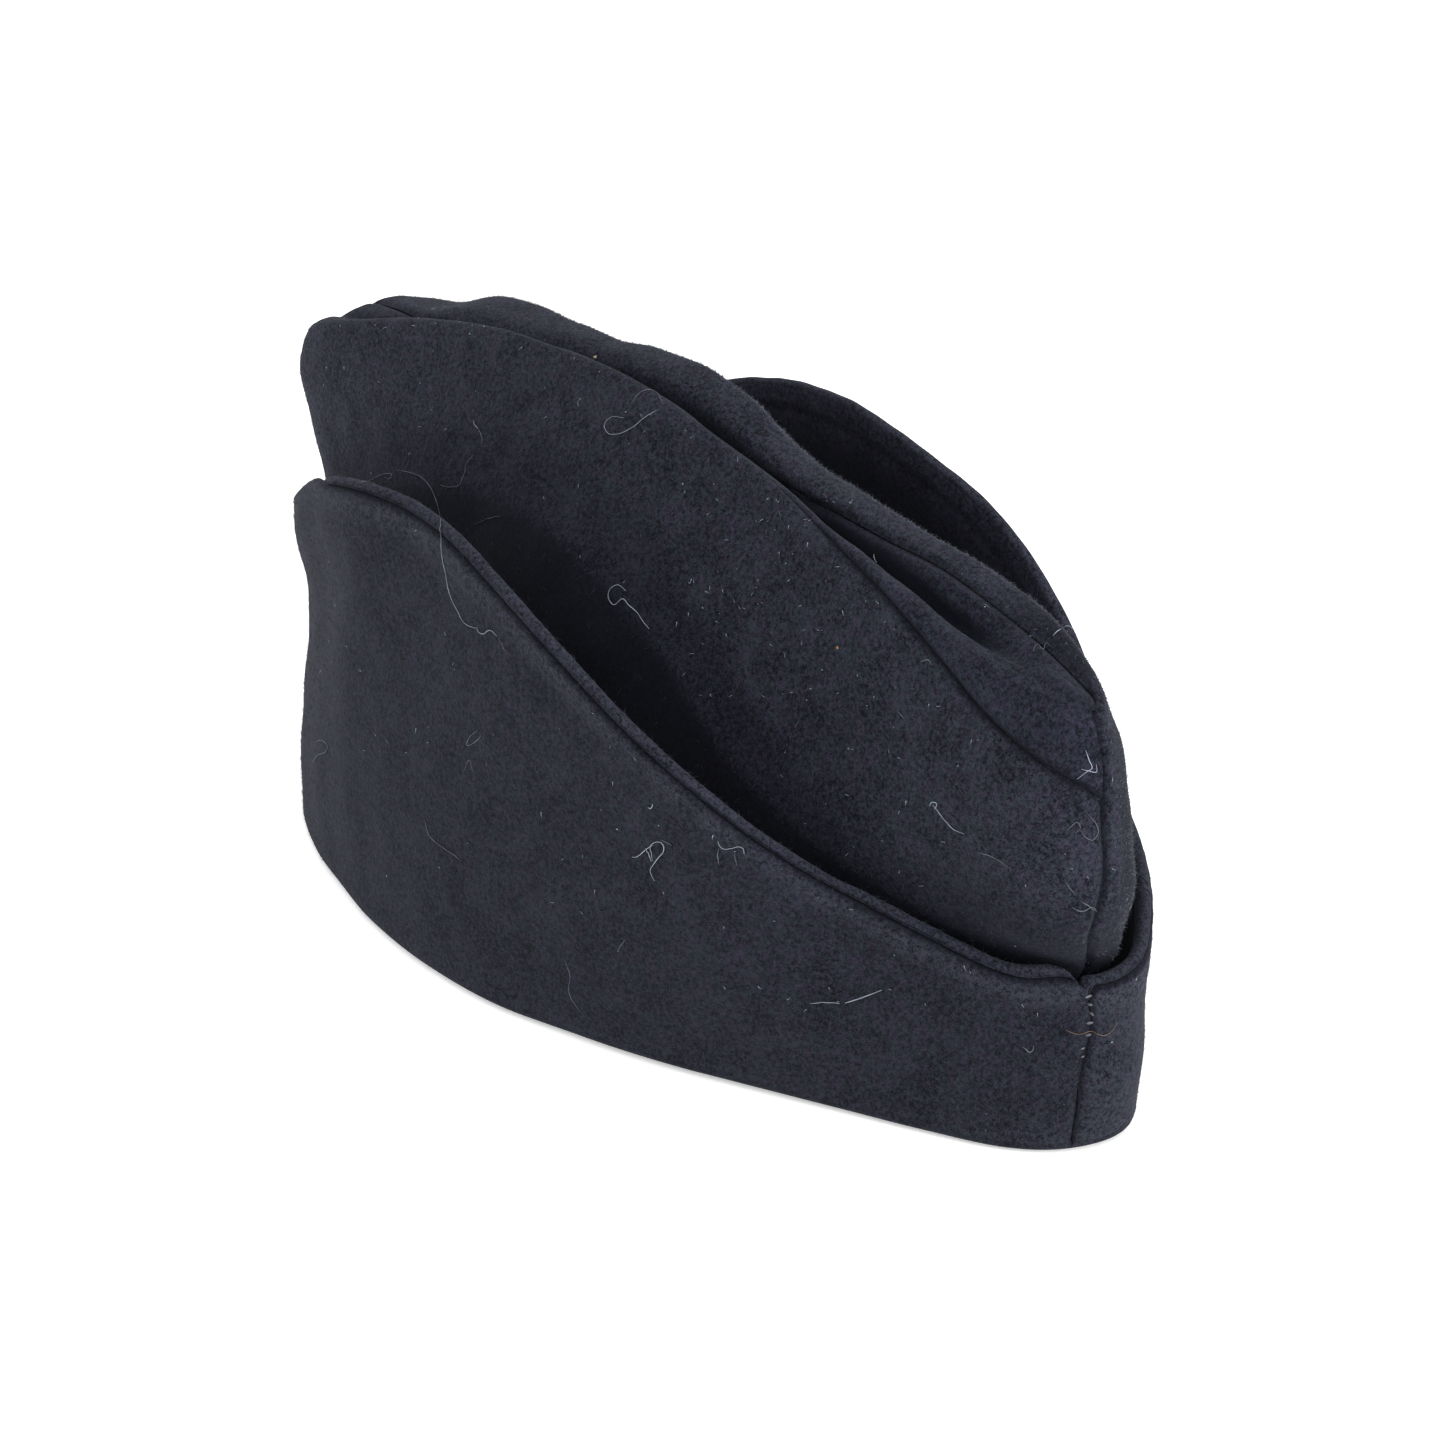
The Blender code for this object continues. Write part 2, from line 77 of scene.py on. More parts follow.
# %% [markdown]
# ## Form of the cap
#
# A soft cap has no straight edge, so its form is kept as a few numbers at chosen angles
# round the head opening, counted from the front seam: how far the turn-up stands from the
# middle, how high it is, where the ridges run and how the crown bellies out. A smooth
# curve through each column gives every place between. It is the same table as the solid
# model's, so the cloth lies where its solids lie.

# %% Sizes and tables
BASE_REACH = 0.1325        # middle of the head opening to the front seam at the bottom fold
HEAD_CENTRE_X = -0.0069    # middle of the head opening, seen from the middle of the cap
CAP_HEIGHT = 0.122         # top of the ridges
FLAP_HEIGHT = 0.1026       # turn-up where it stands highest, beside the rear quarter
FLAP_LEAN = 0.0165         # how far the turn-up's edge stands out at the front quarter
RIDGE_RUN = 0.256          # length of the ridges from the nose to the rear corner
RIDGE_FRONT = 0.134        # middle of the head opening to the front end of the ridges
RIDGE_HALF_GAP = 0.010     # half the width of the top between its ridges
VALLEY_DEPTH = 0.014       # how far the top sinks between the ridges
CROWN_SWELL = 0.008        # how far the crown's sides belly out past a straight line
FLAP_WALL = 0.0016         # outer cloth of the turn-up
FACING_WALL = 0.0012       # thinner cloth behind it
CROWN_WALL = 0.0018        # cloth and lining of the crown's sides
TOP_WALL = 0.0012          # single cloth of the crown's top
SEAM_WALL = 0.0010         # crown's cloth pressed thin along the seams of the top
TIP_TAPER = 8.0            # degrees from the centre seams over which it thins to the tips
TIP_THIN = 0.45            # share of the pressed cloth that is gone at the tips
CLEAR = 0.0003             # air kept between neighbouring pieces
FOLD_RADIUS = 0.0024       # rounding of the bottom fold
FOOT_WIDTH = 0.0072        # bottom fold, outside to the hem that is turned in
CROWN_INSET = 0.0042       # crown's outer face behind the turn-up's outer face at the bottom
BEAD_HEIGHT = 0.0019       # rolled edge above the flap's cloth
BEAD_INSET = 0.0004        # rolled edge behind the flap's outer face
SEAM_DROP = 0.19           # share of the crown's height from its front end down to the top's tip
SEAM_REACH = 0.042         # left seam past its ridge, as a share of the crown's section

# Turn-up by angle from the front seam. Columns: angle; plan radius right, left (shares
# of BASE_REACH); lean of the edge right, left (shares of FLAP_LEAN); height (share of
# FLAP_HEIGHT); belly low, dent high and flare at the rim (shares of FLAP_LEAN); share of
# the crown's overhang past the opening, at the front or rear end, that the edge follows
TURN_UP = (
    (0, 1.008, 1.008, 0.060, 0.070, 0.357, 0.00, 0.00, 0.00, 0.38),
    (5, 0.950, 1.018, -0.063, 0.130, 0.377, 0.00, 0.00, 0.00, 0.36),
    (10, 0.845, 0.957, -0.087, 0.183, 0.423, 0.02, 0.00, 0.00, 0.28),
    (15, 0.750, 0.860, 0.217, 0.377, 0.475, 0.04, 0.00, 0.00, 0.14),
    (20, 0.678, 0.750, 0.618, 0.618, 0.528, 0.06, 0.02, 0.00, 0.05),
    (27, 0.604, 0.640, 0.900, 0.880, 0.605, 0.08, 0.03, 0.00, 0.00),
    (34, 0.552, 0.565, 0.980, 0.980, 0.685, 0.09, 0.04, 0.00, 0.00),
    (52, 0.463, 0.460, 0.700, 0.720, 0.850, 0.09, 0.04, 0.00, 0.00),
    (75, 0.422, 0.402, 0.220, 0.250, 0.960, 0.09, 0.05, 0.00, 0.00),
    (100, 0.420, 0.405, 0.090, 0.090, 1.000, 0.09, 0.03, 0.00, 0.00),
    (125, 0.475, 0.465, 0.200, 0.150, 0.967, 0.08, -0.02, 0.06, 0.00),
    (140, 0.545, 0.565, 0.061, 0.021, 0.895, 0.06, -0.08, 0.10, 0.08),
    (150, 0.624, 0.660, -0.147, -0.147, 0.815, 0.05, -0.11, 0.13, 0.24),
    (165, 0.767, 0.792, -0.364, -0.364, 0.690, 0.02, -0.09, 0.09, 0.46),
    (173, 0.828, 0.838, -0.179, -0.179, 0.590, 0.00, -0.05, 0.06, 0.53),
    (180, 0.860, 0.860, -0.094, -0.094, 0.535, 0.00, 0.00, 0.00, 0.56),
)
# Ridges by the same angle. Columns: angle; run from the nose (share of RIDGE_RUN); half
# gap right, left (shares of RIDGE_HALF_GAP); height right, left (shares of CAP_HEIGHT);
# depth of the valley (share of VALLEY_DEPTH)
RIDGES = (
    (0, 0.000, 0.00, 0.00, 0.752, 0.752, 0.00),
    (4, 0.012, 0.32, 0.41, 0.758, 0.762, -0.04),
    (8, 0.045, 0.58, 0.74, 0.769, 0.783, -0.05),
    (11, 0.078, 0.72, 0.86, 0.785, 0.807, 0.08),
    (14, 0.110, 0.80, 0.90, 0.804, 0.828, 0.28),
    (20, 0.185, 0.89, 0.90, 0.851, 0.864, 0.58),
    (27, 0.250, 0.86, 0.86, 0.879, 0.878, 0.78),
    (34, 0.305, 0.83, 0.82, 0.914, 0.892, 0.90),
    (43, 0.355, 0.80, 0.80, 0.939, 0.907, 0.96),
    (52, 0.400, 0.80, 0.80, 0.957, 0.932, 1.00),
    (64, 0.450, 0.80, 0.80, 0.975, 0.973, 1.00),
    (75, 0.495, 0.81, 0.80, 0.991, 0.987, 1.00),
    (88, 0.540, 0.82, 0.83, 0.999, 0.991, 1.00),
    (100, 0.585, 0.83, 0.86, 0.999, 0.986, 1.00),
    (112, 0.635, 0.85, 0.90, 0.994, 0.972, 1.00),
    (125, 0.695, 0.91, 1.00, 0.988, 0.969, 0.96),
    (138, 0.765, 1.00, 1.13, 0.965, 0.962, 0.90),
    (150, 0.835, 1.12, 1.24, 0.933, 0.938, 0.80),
    (158, 0.885, 1.20, 1.28, 0.904, 0.900, 0.65),
    (165, 0.930, 1.19, 1.23, 0.877, 0.882, 0.36),
    (172, 0.975, 0.90, 0.90, 0.844, 0.858, 0.08),
    (180, 1.000, 0.00, 0.00, 0.812, 0.812, 0.00),
)
LEVELS = (0.39, 0.47, 0.62, 0.78, 0.90)   # of the crown's side, from the hem to the ridge
# Columns: angle; belly of the crown at those levels (shares of CROWN_SWELL)
SWELLS = (
    (0, 0.00, 0.62, 0.98, 0.62, 0.50),
    (5, -0.06, 0.43, 0.93, 0.80, 0.55),
    (10, 0.05, 0.33, 0.77, 0.75, 0.50),
    (20, 0.36, 0.42, 0.48, 0.42, 0.28),
    (34, 0.44, 0.50, 0.55, 0.48, 0.30),
    (52, 0.56, 0.62, 0.68, 0.56, 0.32),
    (75, 0.75, 0.86, 0.94, 0.75, 0.38),
    (100, 0.75, 0.86, 0.94, 0.75, 0.38),
    (125, 0.60, 0.70, 0.80, 0.68, 0.38),
    (150, 0.22, 0.26, 0.36, 0.44, 0.34),
    (165, -0.20, -0.18, 0.02, 0.32, 0.38),
    (173, -0.38, -0.39, -0.18, 0.34, 0.58),
    (180, -0.50, -0.52, -0.28, 0.34, 0.76),
)
# Columns: angle; drop of the right seam (share of SEAM_DROP); reach of the left seam
# (share of SEAM_REACH)
SEAMS = (
    (0, 1.00, 0.00),
    (3, 0.80, 0.30),
    (6, 0.62, 0.66),
    (10, 0.47, 0.84),
    (14, 0.34, 0.92),
    (20, 0.20, 1.02),
    (27, 0.10, 1.32),
    (34, 0.03, 1.75),
    (43, 0.00, 2.25),
    (75, 0.00, 2.80),
    (150, 0.00, 2.30),
    (165, 0.00, 1.20),
    (172, 0.00, 0.45),
    (180, 0.00, 0.00),
)
# Top between the ridges. Columns: place on the section, which has the ridge at 1; way in
# from the right ridge, from the left; sink right, left (shares of the valley's depth)
VALLEY = (
    (1.03, 0.155, 0.22, 0.14, 0.07),
    (1.09, 0.250, 0.46, 0.60, 0.36),
    (1.14, 0.310, 0.57, 0.93, 0.90),
    (1.16, 0.375, 0.625, 1.00, 1.00),
)
MIDDLE = VALLEY[-1][0]   # where the two halves of a section meet
PLACES = np.array((0.0,) + LEVELS + (1.0,) + tuple(row[0] for row in VALLEY))
print("tables:", len(TURN_UP), "angles of the turn-up,", len(RIDGES), "of the ridges")


# %% Reading the tables
def smooth(knots, values, at):
    """Values of a smooth curve through the knots, at the places asked for."""
    knots, values, at = (np.asarray(a, float) for a in (knots, values, at))
    step = np.diff(knots)
    rise = np.diff(values) / step
    slope = np.empty_like(values)
    slope[1:-1] = (rise[:-1] * step[1:] + rise[1:] * step[:-1]) / (step[:-1] + step[1:])
    slope[0], slope[-1] = rise[0], rise[-1]
    k = np.clip(np.searchsorted(knots, at, side="right") - 1, 0, len(step) - 1)
    u, s = (at - knots[k]) / step[k], step[k]
    return ((1 + 2 * u) * (1 - u) ** 2 * values[k] + u * (1 - u) ** 2 * s * slope[k]
            + u * u * (3 - 2 * u) * values[k + 1] + u * u * (u - 1) * s * slope[k + 1])


def around(table, right, left, at, odd=False):
    """A table's column by angle, closed round the cap; odd columns change sign at the seams."""
    rows = np.array(table, float)
    angle, sign = rows[:, 0], -1.0 if odd else 1.0
    knots = np.concatenate([angle[1:-1] - 360, -angle[:0:-1], angle, 360 - angle[-2:0:-1]])
    values = np.concatenate([rows[1:-1, left], sign * rows[:0:-1, right], rows[:, left],
                             sign * rows[-2:0:-1, right]])
    return smooth(knots, values, at)


def ease(x):
    """0 to 1 with a soft start and end."""
    x = np.clip(x, 0.0, 1.0)
    return x * x * (3 - 2 * x)


def unit(v):
    return v / np.maximum(np.linalg.norm(v, axis=-1), 1e-12)[..., None]


# %% Turn-up
def flap_height(phi):
    return FLAP_HEIGHT * around(TURN_UP, 5, 5, phi)


def flap_plan(phi, z):
    """X and Y of the turn-up's outer face at an angle and a height."""
    top = np.clip(z / flap_height(phi), 0.0, 1.0)
    reach = BASE_REACH * around(TURN_UP, 1, 2, phi)
    front = RIDGE_FRONT - BASE_REACH * TURN_UP[0][1]
    rear = RIDGE_RUN - RIDGE_FRONT - BASE_REACH * TURN_UP[-1][1]
    over = np.where(np.abs(phi - 360 * np.round(phi / 360)) < 90, front, rear)
    lean = FLAP_LEAN * around(TURN_UP, 3, 4, phi) + over * around(TURN_UP, 9, 9, phi)
    low, high, rim = (FLAP_LEAN * around(TURN_UP, c, c, phi) for c in (6, 7, 8))
    marks = ((0.0, low * 0), (0.35, low), (0.70, high), (0.92, rim), (1.0, rim))
    for (a, va), (b, vb) in zip(marks, marks[1:]):
        inside = (top >= a) & (top <= b) & ((top > a) | (a == 0.0))
        reach = reach + np.where(inside, va + (vb - va) * ease((top - a) / (b - a)), 0.0)
    reach = reach + lean * top
    return (HEAD_CENTRE_X + reach * np.cos(np.radians(phi)), reach * np.sin(np.radians(phi)))


def flap_point(phi, z, inset):
    """A point behind the turn-up's outer face, by its depth there."""
    phi, z, inset = np.broadcast_arrays(*(np.asarray(a, float) for a in (phi, z, inset)))
    (x, y), (x0, y0), (x1, y1) = (flap_plan(phi + d, z) for d in (0.0, -0.4, 0.4))
    size = np.hypot(x1 - x0, y1 - y0)
    return np.stack([x - (y1 - y0) / size * inset, y + (x1 - x0) / size * inset, z], -1)


print("turn-up: %.1f mm high at the front seam" % (1000 * flap_height(0.0)))


# %% Crown
def crown_rows(phi):
    """One half section of the crown for each angle, from the hem to the middle of the top."""
    hem_z = FLAP_WALL + 2 * CLEAR + 0 * phi
    (x, y), (x0, y0), (x1, y1) = (flap_plan(phi + d, hem_z) for d in (0.0, -0.4, 0.4))
    size = np.hypot(x1 - x0, y1 - y0)
    nx, ny = (y1 - y0) / size, -(x1 - x0) / size
    turn = ease(np.minimum(np.abs(phi), np.abs(180 - np.abs(phi))) / 6.0)
    size = np.hypot(nx, ny * turn)
    mx, my = nx / size, ny * turn / size
    inset = CROWN_INSET / np.maximum(nx * mx + ny * my, 0.6)
    hem = np.stack([x - mx * inset, y - my * inset, hem_z], -1)

    def ridge(angle):
        run = RIDGE_RUN * around(RIDGES, 1, 1, angle)
        return np.stack([HEAD_CENTRE_X + RIDGE_FRONT - run,
                         RIDGE_HALF_GAP * around(RIDGES, 2, 3, angle, odd=True),
                         CAP_HEIGHT * around(RIDGES, 4, 5, angle)], -1)

    crest, other, rows = ridge(phi), ridge(-phi), [hem]
    for column, level in enumerate(LEVELS, 1):
        swell = CROWN_SWELL * around(SWELLS, column, column, phi)
        rows.append(hem + (crest - hem) * level + np.stack([mx * swell, my * swell, 0 * swell], -1))
    rows.append(crest)
    depth = VALLEY_DEPTH * around(RIDGES, 6, 6, phi)
    down = np.stack([0 * depth, 0 * depth, depth], -1)
    right = phi <= 0
    for _, way_right, way_left, sink_right, sink_left in VALLEY:
        way = np.where(right, way_right, way_left)[..., None]
        sink = np.where(right, sink_right, sink_left)[..., None]
        rows.append(crest + (other - crest) * way - down * sink)
    return np.stack(rows, -2)


def crown_point(phi, place):
    """phi holds one angle a section, place the places along each section."""
    phi, place = np.broadcast_arrays(np.asarray(phi, float), np.asarray(place, float))
    flat, back = np.unique(phi, return_inverse=True)
    near, far = crown_rows(flat), crown_rows(-flat)
    rows = np.concatenate([near, far[:, -2::-1]], 1)
    knots = np.concatenate([PLACES, 2 * MIDDLE - PLACES[-2::-1]])
    step = np.diff(knots)
    rise = np.diff(rows, axis=1) / step[None, :, None]
    slope = np.empty_like(rows)
    slope[:, 1:-1] = ((rise[:, :-1] * step[1:, None] + rise[:, 1:] * step[:-1, None])
                      / (step[:-1] + step[1:])[:, None])
    slope[:, 0], slope[:, -1] = rise[:, 0], rise[:, -1]
    back = back.reshape(phi.shape)
    k = np.clip(np.searchsorted(knots, place, side="right") - 1, 0, len(step) - 1)
    u, s = ((place - knots[k]) / step[k])[..., None], step[k][..., None]
    return ((1 + 2 * u) * (1 - u) ** 2 * rows[back, k] + u * (1 - u) ** 2 * s * slope[back, k]
            + u * u * (3 - 2 * u) * rows[back, k + 1] + u * u * (u - 1) * s * slope[back, k + 1])


def crown_directions(phi, place):
    """The outward normal of the crown and the way up its section."""
    phi, place = np.broadcast_arrays(np.asarray(phi, float), np.asarray(place, float))
    first, last, over = phi - 0.5, phi + 0.5, place >= 0.999
    first = np.where(over & (phi > 0), np.maximum(first, 0.0), first)
    last = np.where(over & (phi < 0), np.minimum(last, 0.0), last)
    first = np.where(over & (phi < 0), np.maximum(first, -180.0), first)
    last = np.where(over & (phi > 0), np.minimum(last, 180.0), last)
    along = crown_point(last, place) - crown_point(first, place)
    up = crown_point(phi, place + 0.004) - crown_point(phi, np.maximum(place - 0.004, 0.0))
    return unit(np.cross(along, up)), unit(up)


# %% Seams of the top
SEAM_TABLE = np.array(SEAMS)


def right_seam(phi):
    return 1.0 - SEAM_DROP * np.maximum(smooth(SEAM_TABLE[:, 0], SEAM_TABLE[:, 1], np.abs(phi)), 0.0)


def left_seam(phi):
    return 1.0 + SEAM_REACH * np.maximum(smooth(SEAM_TABLE[:, 0], SEAM_TABLE[:, 2], np.abs(phi)), 0.0)


def seam_wall(phi):
    ends = np.minimum(np.minimum(np.abs(phi), 180 - np.abs(phi)) / TIP_TAPER, 1.0)
    return SEAM_WALL * (1 - TIP_THIN * (1 - ends))


crest = crown_point(np.array([-100.0]), np.array([1.0]))[0]
print("right ridge at its highest: z = %.1f mm" % (crest[2] * 1000))

# %% [markdown]
# ## Softness
#
# Heavy wool never lies dead flat. Long shallow waves, a few hundredths of the cap's
# length, break up its sides. They are made as a sum of slow waves in random directions
# with a fixed seed, so the result is the same each time.

# %% Soft waves
def waves(points, size, seed, count=9):
    """Smooth value of about -1 to 1 at each point; size is the length of one wave in metres."""
    chance = np.random.RandomState(seed)
    total = np.zeros(points.shape[:-1])
    for _ in range(count):
        way = chance.normal(size=3)
        way *= 2 * math.pi / (size * chance.uniform(0.75, 1.5) * np.linalg.norm(way))
        total += np.sin(points @ way + chance.uniform(0, 2 * math.pi))
    return total / math.sqrt(count)


# %% Sections of one half
FINE_STEP, COARSE_STEP = 0.00022, 0.00092   # between sections at the centre seams and away from them
FINE_REACH, PLAN_HEIGHT = 0.014, 0.02       # way over which the step grows; height it is measured at


def half_turn(side):
    """Angles of one half, a little past both seams, close together near them."""
    angle = np.linspace(0.0, 180.0, 3601)
    x, y = flap_plan(side * angle, np.full_like(angle, PLAN_HEIGHT))
    run = np.concatenate([[0], np.cumsum(np.hypot(np.diff(x), np.diff(y)))])
    off = np.minimum(run, run[-1] - run)
    pace = FINE_STEP + (COARSE_STEP - FINE_STEP) * ease(off / FINE_REACH)
    count = np.concatenate([[0], np.cumsum(np.diff(run) / ((pace[1:] + pace[:-1]) / 2))])
    number = int(count[-1])
    inner = np.interp(np.linspace(0, count[-1], number), count, angle)
    return side * np.concatenate([[-1.0, -0.4], inner, [180.4, 181.0]])


print("sections in one half of the turn-up:", len(half_turn(-1)))

# %% [markdown]
# ## Wool
#
# Melton is woven, then felted and brushed until no thread shows. What is left to see is a
# close, slightly cloudy nap in near black navy, paler where it is rubbed. The nap is one
# node group: two sizes of noise for the felted clumps, a fine one for the fibre ends, one
# that mixes redder and greener navy fibres, and a value painted on the mesh for wear and
# painted light. Above nothing it lightens worn edges and paints light on the left ridge,
# the bead and the left turn-up's front; below nothing it paints shade by the turn-up's edge,
# in the seam grooves, in the top's valley and inside the turn-up. The group gives out a
# colour, a roughness and a height; the shader itself stays in each material.

# %% Nodes
def add(tree, kind, **settings):
    node = tree.nodes.new(kind)
    for key, value in settings.items():
        setattr(node, key, value)
    return node


def plug(sockets, name):
    return next(s for s in sockets if s.enabled and s.name == name)


def wire(tree, source, target):
    tree.links.new(source, target)


def group_tree(name, kind, inputs, outputs):
    """An empty node group with its named sockets, and its input and output nodes."""
    tree = bpy.data.node_groups.new(name, kind)
    for label, socket_type, value in inputs:
        socket = tree.interface.new_socket(name=label, in_out="INPUT", socket_type=socket_type)
        if value is not None:
            socket.default_value = value
    for label, socket_type in outputs:
        tree.interface.new_socket(name=label, in_out="OUTPUT", socket_type=socket_type)
    return tree, add(tree, "NodeGroupInput"), add(tree, "NodeGroupOutput")


def calculate(tree, operation, a, b):
    node = add(tree, "ShaderNodeMath", operation=operation)
    for socket, value in zip(node.inputs, (a, b)):
        if isinstance(value, bpy.types.NodeSocket):
            wire(tree, value, socket)
        else:
            socket.default_value = value
    return node.outputs[0]


def spread(tree, value, low, high):
    """Value from low to high as 0 to 1."""
    node = add(tree, "ShaderNodeMapRange")
    wire(tree, value, node.inputs["Value"])
    node.inputs["From Min"].default_value, node.inputs["From Max"].default_value = low, high
    return node.outputs["Result"]


def blend_colour(tree, share, a, b):
    node = add(tree, "ShaderNodeMix", data_type="RGBA")
    wire(tree, share, node.inputs[0])
    for socket, value in zip((node.inputs[6], node.inputs[7]), (a, b)):
        if isinstance(value, bpy.types.NodeSocket):
            wire(tree, value, socket)
        else:
            socket.default_value = value
    return node.outputs[2]


def noise(tree, where, scale, detail=2.0, rough=0.6):
    node = add(tree, "ShaderNodeTexNoise")
    wire(tree, where, node.inputs["Vector"])
    node.inputs["Scale"].default_value = scale
    node.inputs["Detail"].default_value = detail
    node.inputs["Roughness"].default_value = rough
    return node.outputs["Fac"]


# %% Melton group
COLOUR, NUMBER = "NodeSocketColor", "NodeSocketFloat"
FIBRE_END, CLUMP, HEATHER, CLOUD = 2600, 1050, 560, 120   # waves of each noise in a metre
NOISE_LOW, NOISE_HIGH = 0.38, 0.62                        # where nearly all of a noise lies
REDDER, GREENER = (1.10, 0.93, 1.06, 1), (0.90, 1.06, 0.97, 1)


def melton_group():
    tree, given, gives = group_tree("melton", "ShaderNodeTree", [
        ("Deep", COLOUR, (0.006, 0.008, 0.013, 1)), ("Pale", COLOUR, (0.022, 0.026, 0.035, 1)),
        ("Wear_and_highlight", COLOUR, (0.050, 0.055, 0.068, 1)), ("Clouds", NUMBER, 0.5), ("Wear_and_painted_light", NUMBER, 0.0)],
        [("Color", COLOUR), ("Roughness", NUMBER), ("Height", NUMBER)])
    deep, pale, wear_and_highlight, clouds, wear_and_painted_light = (given.outputs[n] for n in ("Deep", "Pale", "Wear_and_highlight", "Clouds", "Wear_and_painted_light"))

    def share(value):
        return spread(tree, value, NOISE_LOW, NOISE_HIGH)

    def times(a, b):
        return calculate(tree, "MULTIPLY", a, b)

    def plus(a, b):
        return calculate(tree, "ADD", a, b)

    where = add(tree, "ShaderNodeTexCoord").outputs["Object"]
    fine, clump = noise(tree, where, FIBRE_END), noise(tree, where, CLUMP)
    cloud = noise(tree, where, CLOUD, detail=4.0)
    nap = plus(times(fine, 0.5), times(clump, 0.5))
    cloudy = times(calculate(tree, "SUBTRACT", cloud, 0.5), clouds)
    cloth = blend_colour(tree, share(plus(nap, cloudy)), deep, pale)
    tint = add(tree, "ShaderNodeMix", data_type="RGBA", blend_type="MULTIPLY")
    tint.inputs[0].default_value = 1.0
    wire(tree, cloth, tint.inputs[6])
    wire(tree, blend_colour(tree, share(noise(tree, where, HEATHER)), REDDER, GREENER), tint.inputs[7])
    # Below nothing the value paints shade, towards Deep; above nothing it lightens towards the colour of wear
    # and highlight.
    cloth = blend_colour(tree, spread(tree, wear_and_painted_light, 0.0, -1.0), tint.outputs[2], deep)
    lightened = times(calculate(tree, "MAXIMUM", wear_and_painted_light, 0.0), share(nap))
    wire(tree, blend_colour(tree, lightened, cloth, wear_and_highlight), gives.inputs["Color"])
    wire(tree, plus(times(nap, -0.12), 1.0), gives.inputs["Roughness"])
    wire(tree, plus(nap, times(cloud, 0.8)), gives.inputs["Height"])
    return tree


melton = melton_group()
print("melton group:", len(melton.nodes), "nodes")


# %% Wool finishes
CLOUDINESS, RELIEF, RELIEF_DEPTH, GLOSS = 0.25, 0.8, 0.00025, 0.12
SHEEN, SHEEN_ROUGHNESS, SHEEN_TINT = 0.035, 0.45, (0.62, 0.70, 0.86, 1.0)


def wool(name, deep, pale, wear_and_highlight):
    material = bpy.data.materials.new(name)
    material.use_nodes = True
    tree = material.node_tree
    shader = tree.nodes["Principled BSDF"]
    group = add(tree, "ShaderNodeGroup", node_tree=melton)
    for label, colour in (("Deep", deep), ("Pale", pale), ("Wear_and_highlight", wear_and_highlight)):
        group.inputs[label].default_value = (*colour, 1.0)
    group.inputs["Clouds"].default_value = CLOUDINESS
    wear_and_painted_light = add(tree, "ShaderNodeAttribute", attribute_name="wear_and_painted_light")
    wire(tree, wear_and_painted_light.outputs["Fac"], group.inputs["Wear_and_painted_light"])
    wire(tree, group.outputs["Color"], shader.inputs["Base Color"])
    wire(tree, group.outputs["Roughness"], shader.inputs["Roughness"])
    relief = add(tree, "ShaderNodeBump")
    relief.inputs["Strength"].default_value = RELIEF
    relief.inputs["Distance"].default_value = RELIEF_DEPTH
    wire(tree, group.outputs["Height"], relief.inputs["Height"])
    wire(tree, relief.outputs["Normal"], shader.inputs["Normal"])
    shader.inputs["Specular IOR Level"].default_value = GLOSS
    shader.inputs["Sheen Weight"].default_value = SHEEN
    shader.inputs["Sheen Roughness"].default_value = SHEEN_ROUGHNESS
    shader.inputs["Sheen Tint"].default_value = SHEEN_TINT
    return material


# The crown's wool is a lighter copy of the same melton as the top's and the turn-up's: its paler Pale is
# painted light on the crown's sides.
crown_wool = wool("crown wool", (0.0026, 0.0030, 0.0062), (0.0280, 0.0295, 0.0432), (0.055, 0.059, 0.084))
top_wool = wool("top wool", (0.0026, 0.0030, 0.0062), (0.0222, 0.0234, 0.0368), (0.055, 0.059, 0.084))
flap_wool = wool("turn-up wool", (0.0030, 0.0033, 0.0062), (0.0200, 0.0212, 0.0318), (0.045, 0.048, 0.065))
facing_wool = wool("facing wool", (0.0028, 0.0030, 0.0060), (0.0195, 0.0203, 0.0320), (0.050, 0.053, 0.072))


LINT_MOTTLE = 420   # waves of its mottling in a metre


def plain(name, colour, roughness=0.8):
    """A finish for single fibres and crumbs, mottled a little."""
    material = bpy.data.materials.new(name)
    material.use_nodes = True
    tree = material.node_tree
    shader = tree.nodes["Principled BSDF"]
    where = add(tree, "ShaderNodeTexCoord").outputs["Object"]
    tone = spread(tree, noise(tree, where, LINT_MOTTLE, rough=0.55), 0.35, 0.65)
    darker = tuple(0.55 * c for c in colour)
    wire(tree, blend_colour(tree, tone, (*darker, 1), (*colour, 1)), shader.inputs["Base Color"])
    shader.inputs["Roughness"].default_value = roughness
    shader.inputs["Specular IOR Level"].default_value = 0.2
    return material


nap_wool = plain("loose nap", (0.050, 0.056, 0.072), 1.0)
# The paler nap is a painted highlight, for fibres on the left ridge lit from behind.
rim_highlight_nap = plain("rim highlight nap", (0.13, 0.14, 0.17), 1.0)
pale_lint = plain("pale lint", (0.30, 0.34, 0.40))
dull_lint = plain("dull lint", (0.12, 0.135, 0.16))
tan_lint = plain("tan lint", (0.42, 0.20, 0.08))
brown_lint = plain("brown lint", (0.17, 0.12, 0.08))
dark_thread = plain("dark thread", (0.004, 0.0045, 0.006), 0.9)
pale_thread = plain("pale thread", (0.12, 0.13, 0.145), 0.8)
print("finishes:", ", ".join(m.name for m in bpy.data.materials if m.use_nodes))

# %% [markdown]
# ## Cloth from sections
#
# Each piece of cloth is a closed ring of points, its outer face, its edge and its inner
# face, repeated at some hundred angles round the cap. Faces between the rings make a
# closed wall. The halves are made a little too long and cut off at the centre seams, as a
# tailor trims a seam, and the cut ends are closed.

